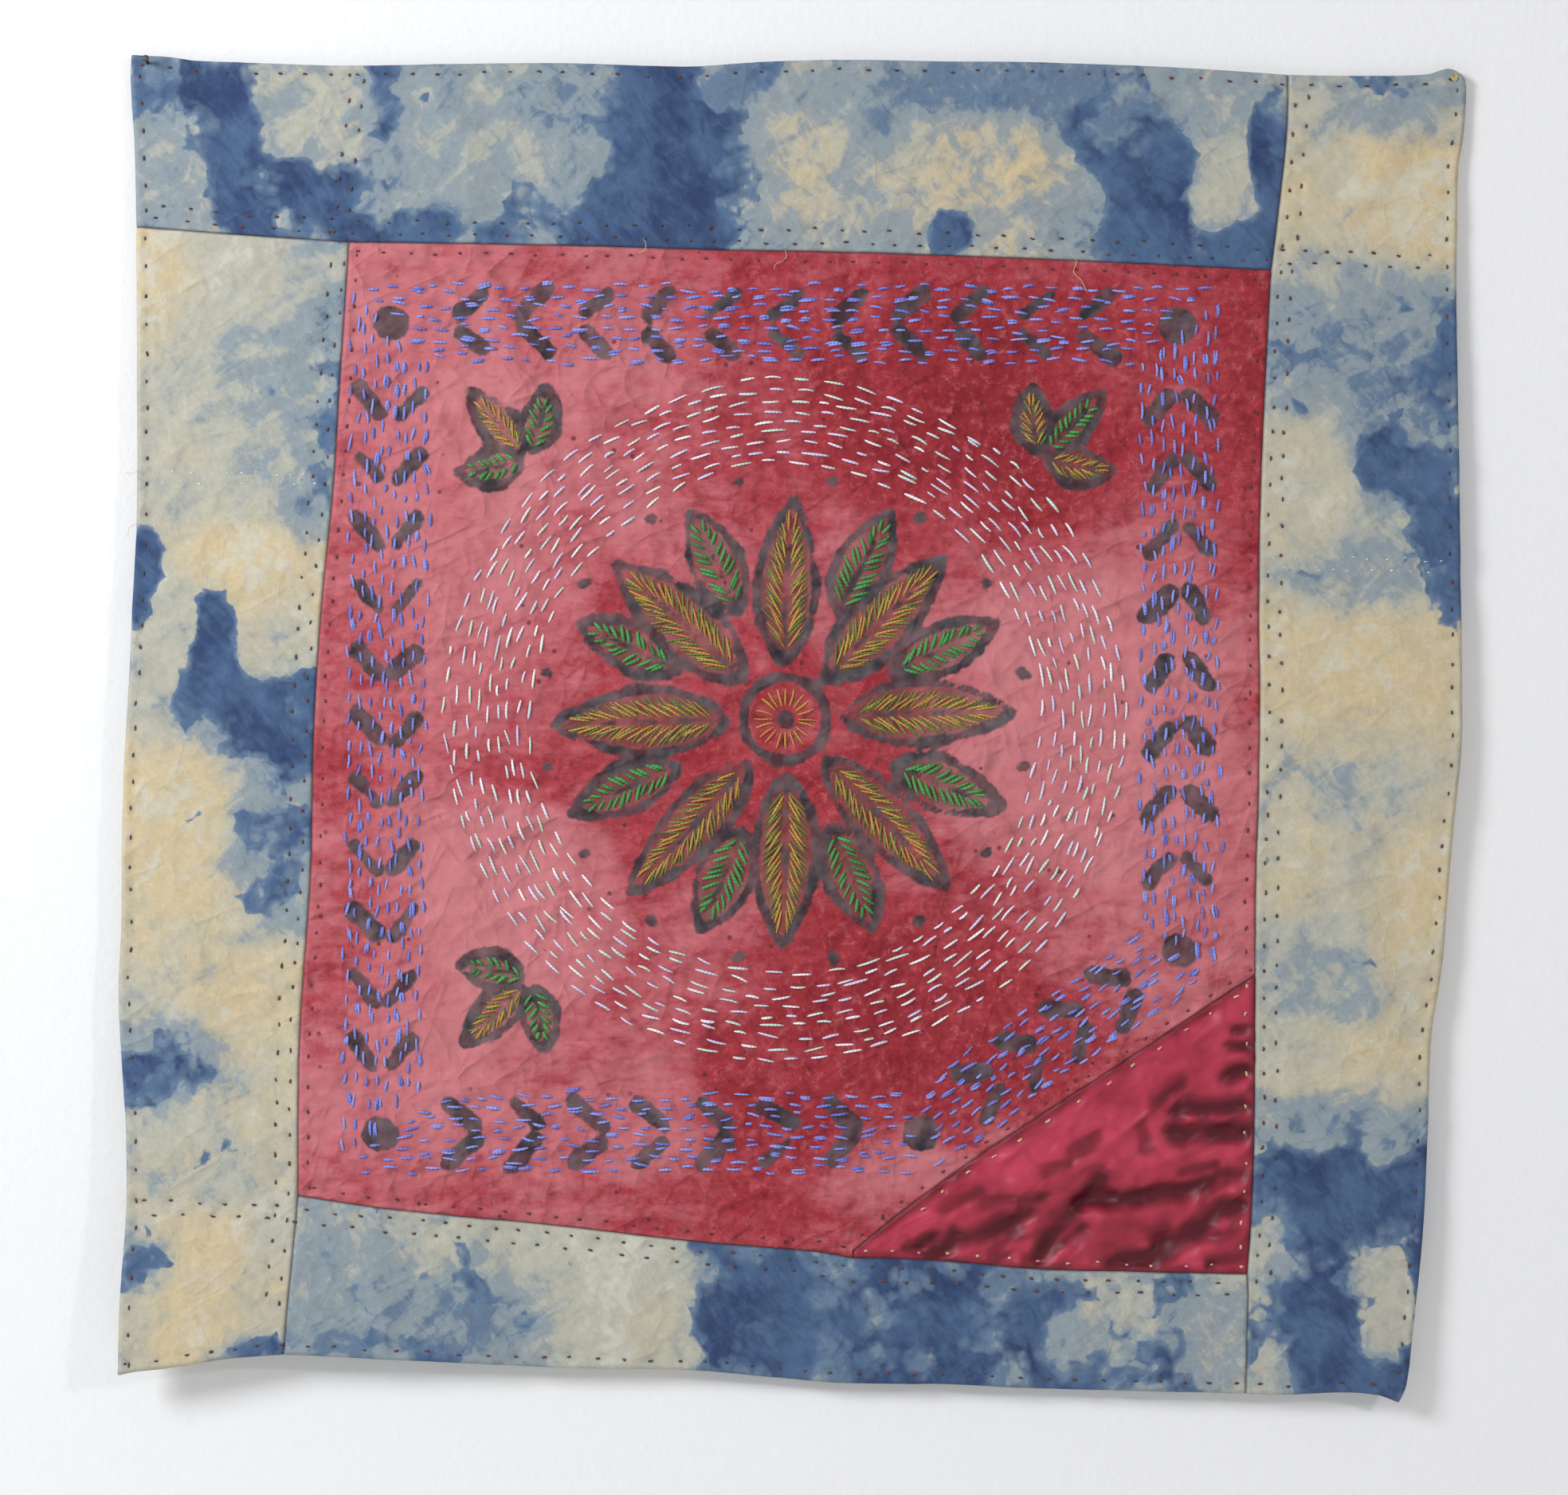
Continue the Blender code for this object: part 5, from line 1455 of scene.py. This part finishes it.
def stagePlane(name, corners, material):
    bm = bmesh.new()
    bmesh.ops.create_grid(bm, x_segments=1, y_segments=1, size=0.5)
    for vert in bm.verts:
        k = (1 if vert.co.x > 0 else 0) + (2 if vert.co.y > 0 else 0)
        vert.co = corners[k]
    mesh = bpy.data.meshes.new(name)
    bm.to_mesh(mesh)
    bm.free()
    mesh.materials.append(material)
    obj = bpy.data.objects.new(name, mesh)
    bpy.context.scene.collection.objects.link(obj)
    obj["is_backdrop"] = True
    return obj


def roomPaint(name, colour, oneSided):
    material, w, shader = startMaterial(name, 0.9, specular=0.15)
    shader.inputs["Base Color"].default_value = colour
    bump = w.node("ShaderNodeBump")
    bump.inputs["Distance"].default_value = 0.0004
    w.put(bump.inputs["Height"], w.noise(w.objectPlace(), 180.0, 3.0).outputs[0])
    w.put(shader.inputs["Normal"], bump.outputs[0])
    if oneSided:  # seen from the room only, so that the back of the cloth can be looked at
        rays = w.node("ShaderNodeLightPath").outputs["Is Camera Ray"]
        behind = w.node("ShaderNodeNewGeometry").outputs["Backfacing"]
        through = w.math("MAXIMUM", behind, w.math("SUBTRACT", 1.0, rays))
        clear = w.node("ShaderNodeBsdfTransparent")
        mix = w.node("ShaderNodeMixShader")
        w.put(mix.inputs[0], through)
        w.put(mix.inputs[1], shader.outputs[0])
        w.put(mix.inputs[2], clear.outputs[0])
        w.put(material.node_tree.nodes["Material Output"].inputs["Surface"], mix.outputs[0])
    return material


half, floorZ = room["wide"] / 2, room["floorZ"]
wall = stagePlane("room_wall", {0: (-half, 0, floorZ), 1: (half, 0, floorZ), 2: (-half, 0, 2.2), 3: (half, 0, 2.2)},
                  roomPaint("wall_paint", room["wallWhite"], True))
floor = stagePlane("room_floor", {0: (-half, -5, floorZ), 1: (half, -5, floorZ), 2: (-half, 3, floorZ), 3: (half, 3, floorZ)},
                   roomPaint("floor_paint", room["floorWhite"], False))

lights = {
    "window_light": {"at": (-1.9, -1.6, 0.62), "size": 0.9, "power": 62, "colour": (0.97, 0.99, 1.0)},
    "lamp_light": {"at": (2.1, -2.0, 0.25), "size": 0.2, "power": 16, "colour": (1.0, 0.97, 0.95)},
    "back_light": {"at": (0.6, 2.0, 0.9), "size": 1.8, "power": 40, "colour": (1.0, 1.0, 1.0)},
}
aim = Vector((0.0, 0.0, -0.42))
for name, light in lights.items():
    data = bpy.data.lights.new(name, "AREA")
    data.shape = "DISK"
    data.size = light["size"]
    data.energy = light["power"]
    data.color = light["colour"]
    lamp = bpy.data.objects.new(name, data)
    bpy.context.scene.collection.objects.link(lamp)
    lamp.location = light["at"]
    lamp.rotation_euler = (aim - Vector(light["at"])).to_track_quat("-Z", "Y").to_euler()

world = bpy.data.worlds.new("soft_room")
world.use_nodes = True
sky = Wires(world.node_tree)
facing = sky.node("ShaderNodeVectorMath", operation="DOT_PRODUCT")
sky.put(facing.inputs[0], sky.node("ShaderNodeTexCoord").outputs["Generated"])
facing.inputs[1].default_value = (-0.30, -0.40, 0.87)  # brighter from above
backdrop = world.node_tree.nodes["Background"]
backdrop.inputs["Color"].default_value = (0.97, 0.98, 1.0, 1)
sky.put(backdrop.inputs["Strength"], sky.remap(facing.outputs["Value"], -0.8, 1.0, 0.06, 0.60, True))
bpy.context.scene.world = world
bpy.context.scene.view_settings.view_transform = "Standard"

# The photograph is 1968 by 1876 pixels at half a millimetre each, taken square on
photo = {"wide": 1968, "high": 1876, "pixel": 0.0005, "zeroX": 1005.5, "zeroZ": 92.5, "distance": 2.4, "sensor": 36.0}
camera = bpy.data.cameras.new("camera")
camera.sensor_width = photo["sensor"]
camera.lens = photo["sensor"] * photo["distance"] / (photo["wide"] * photo["pixel"])
eye = bpy.data.objects.new("camera", camera)
bpy.context.scene.collection.objects.link(eye)
eye.location = (
    (photo["wide"] / 2 - photo["zeroX"]) * photo["pixel"], -photo["distance"],
    (photo["zeroZ"] - photo["high"] / 2) * photo["pixel"],
)
eye.rotation_euler = (math.radians(90), 0, 0)
bpy.context.scene.camera = eye

low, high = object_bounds()
print("size:", [round(v, 4) for v in low], [round(v, 4) for v in high])
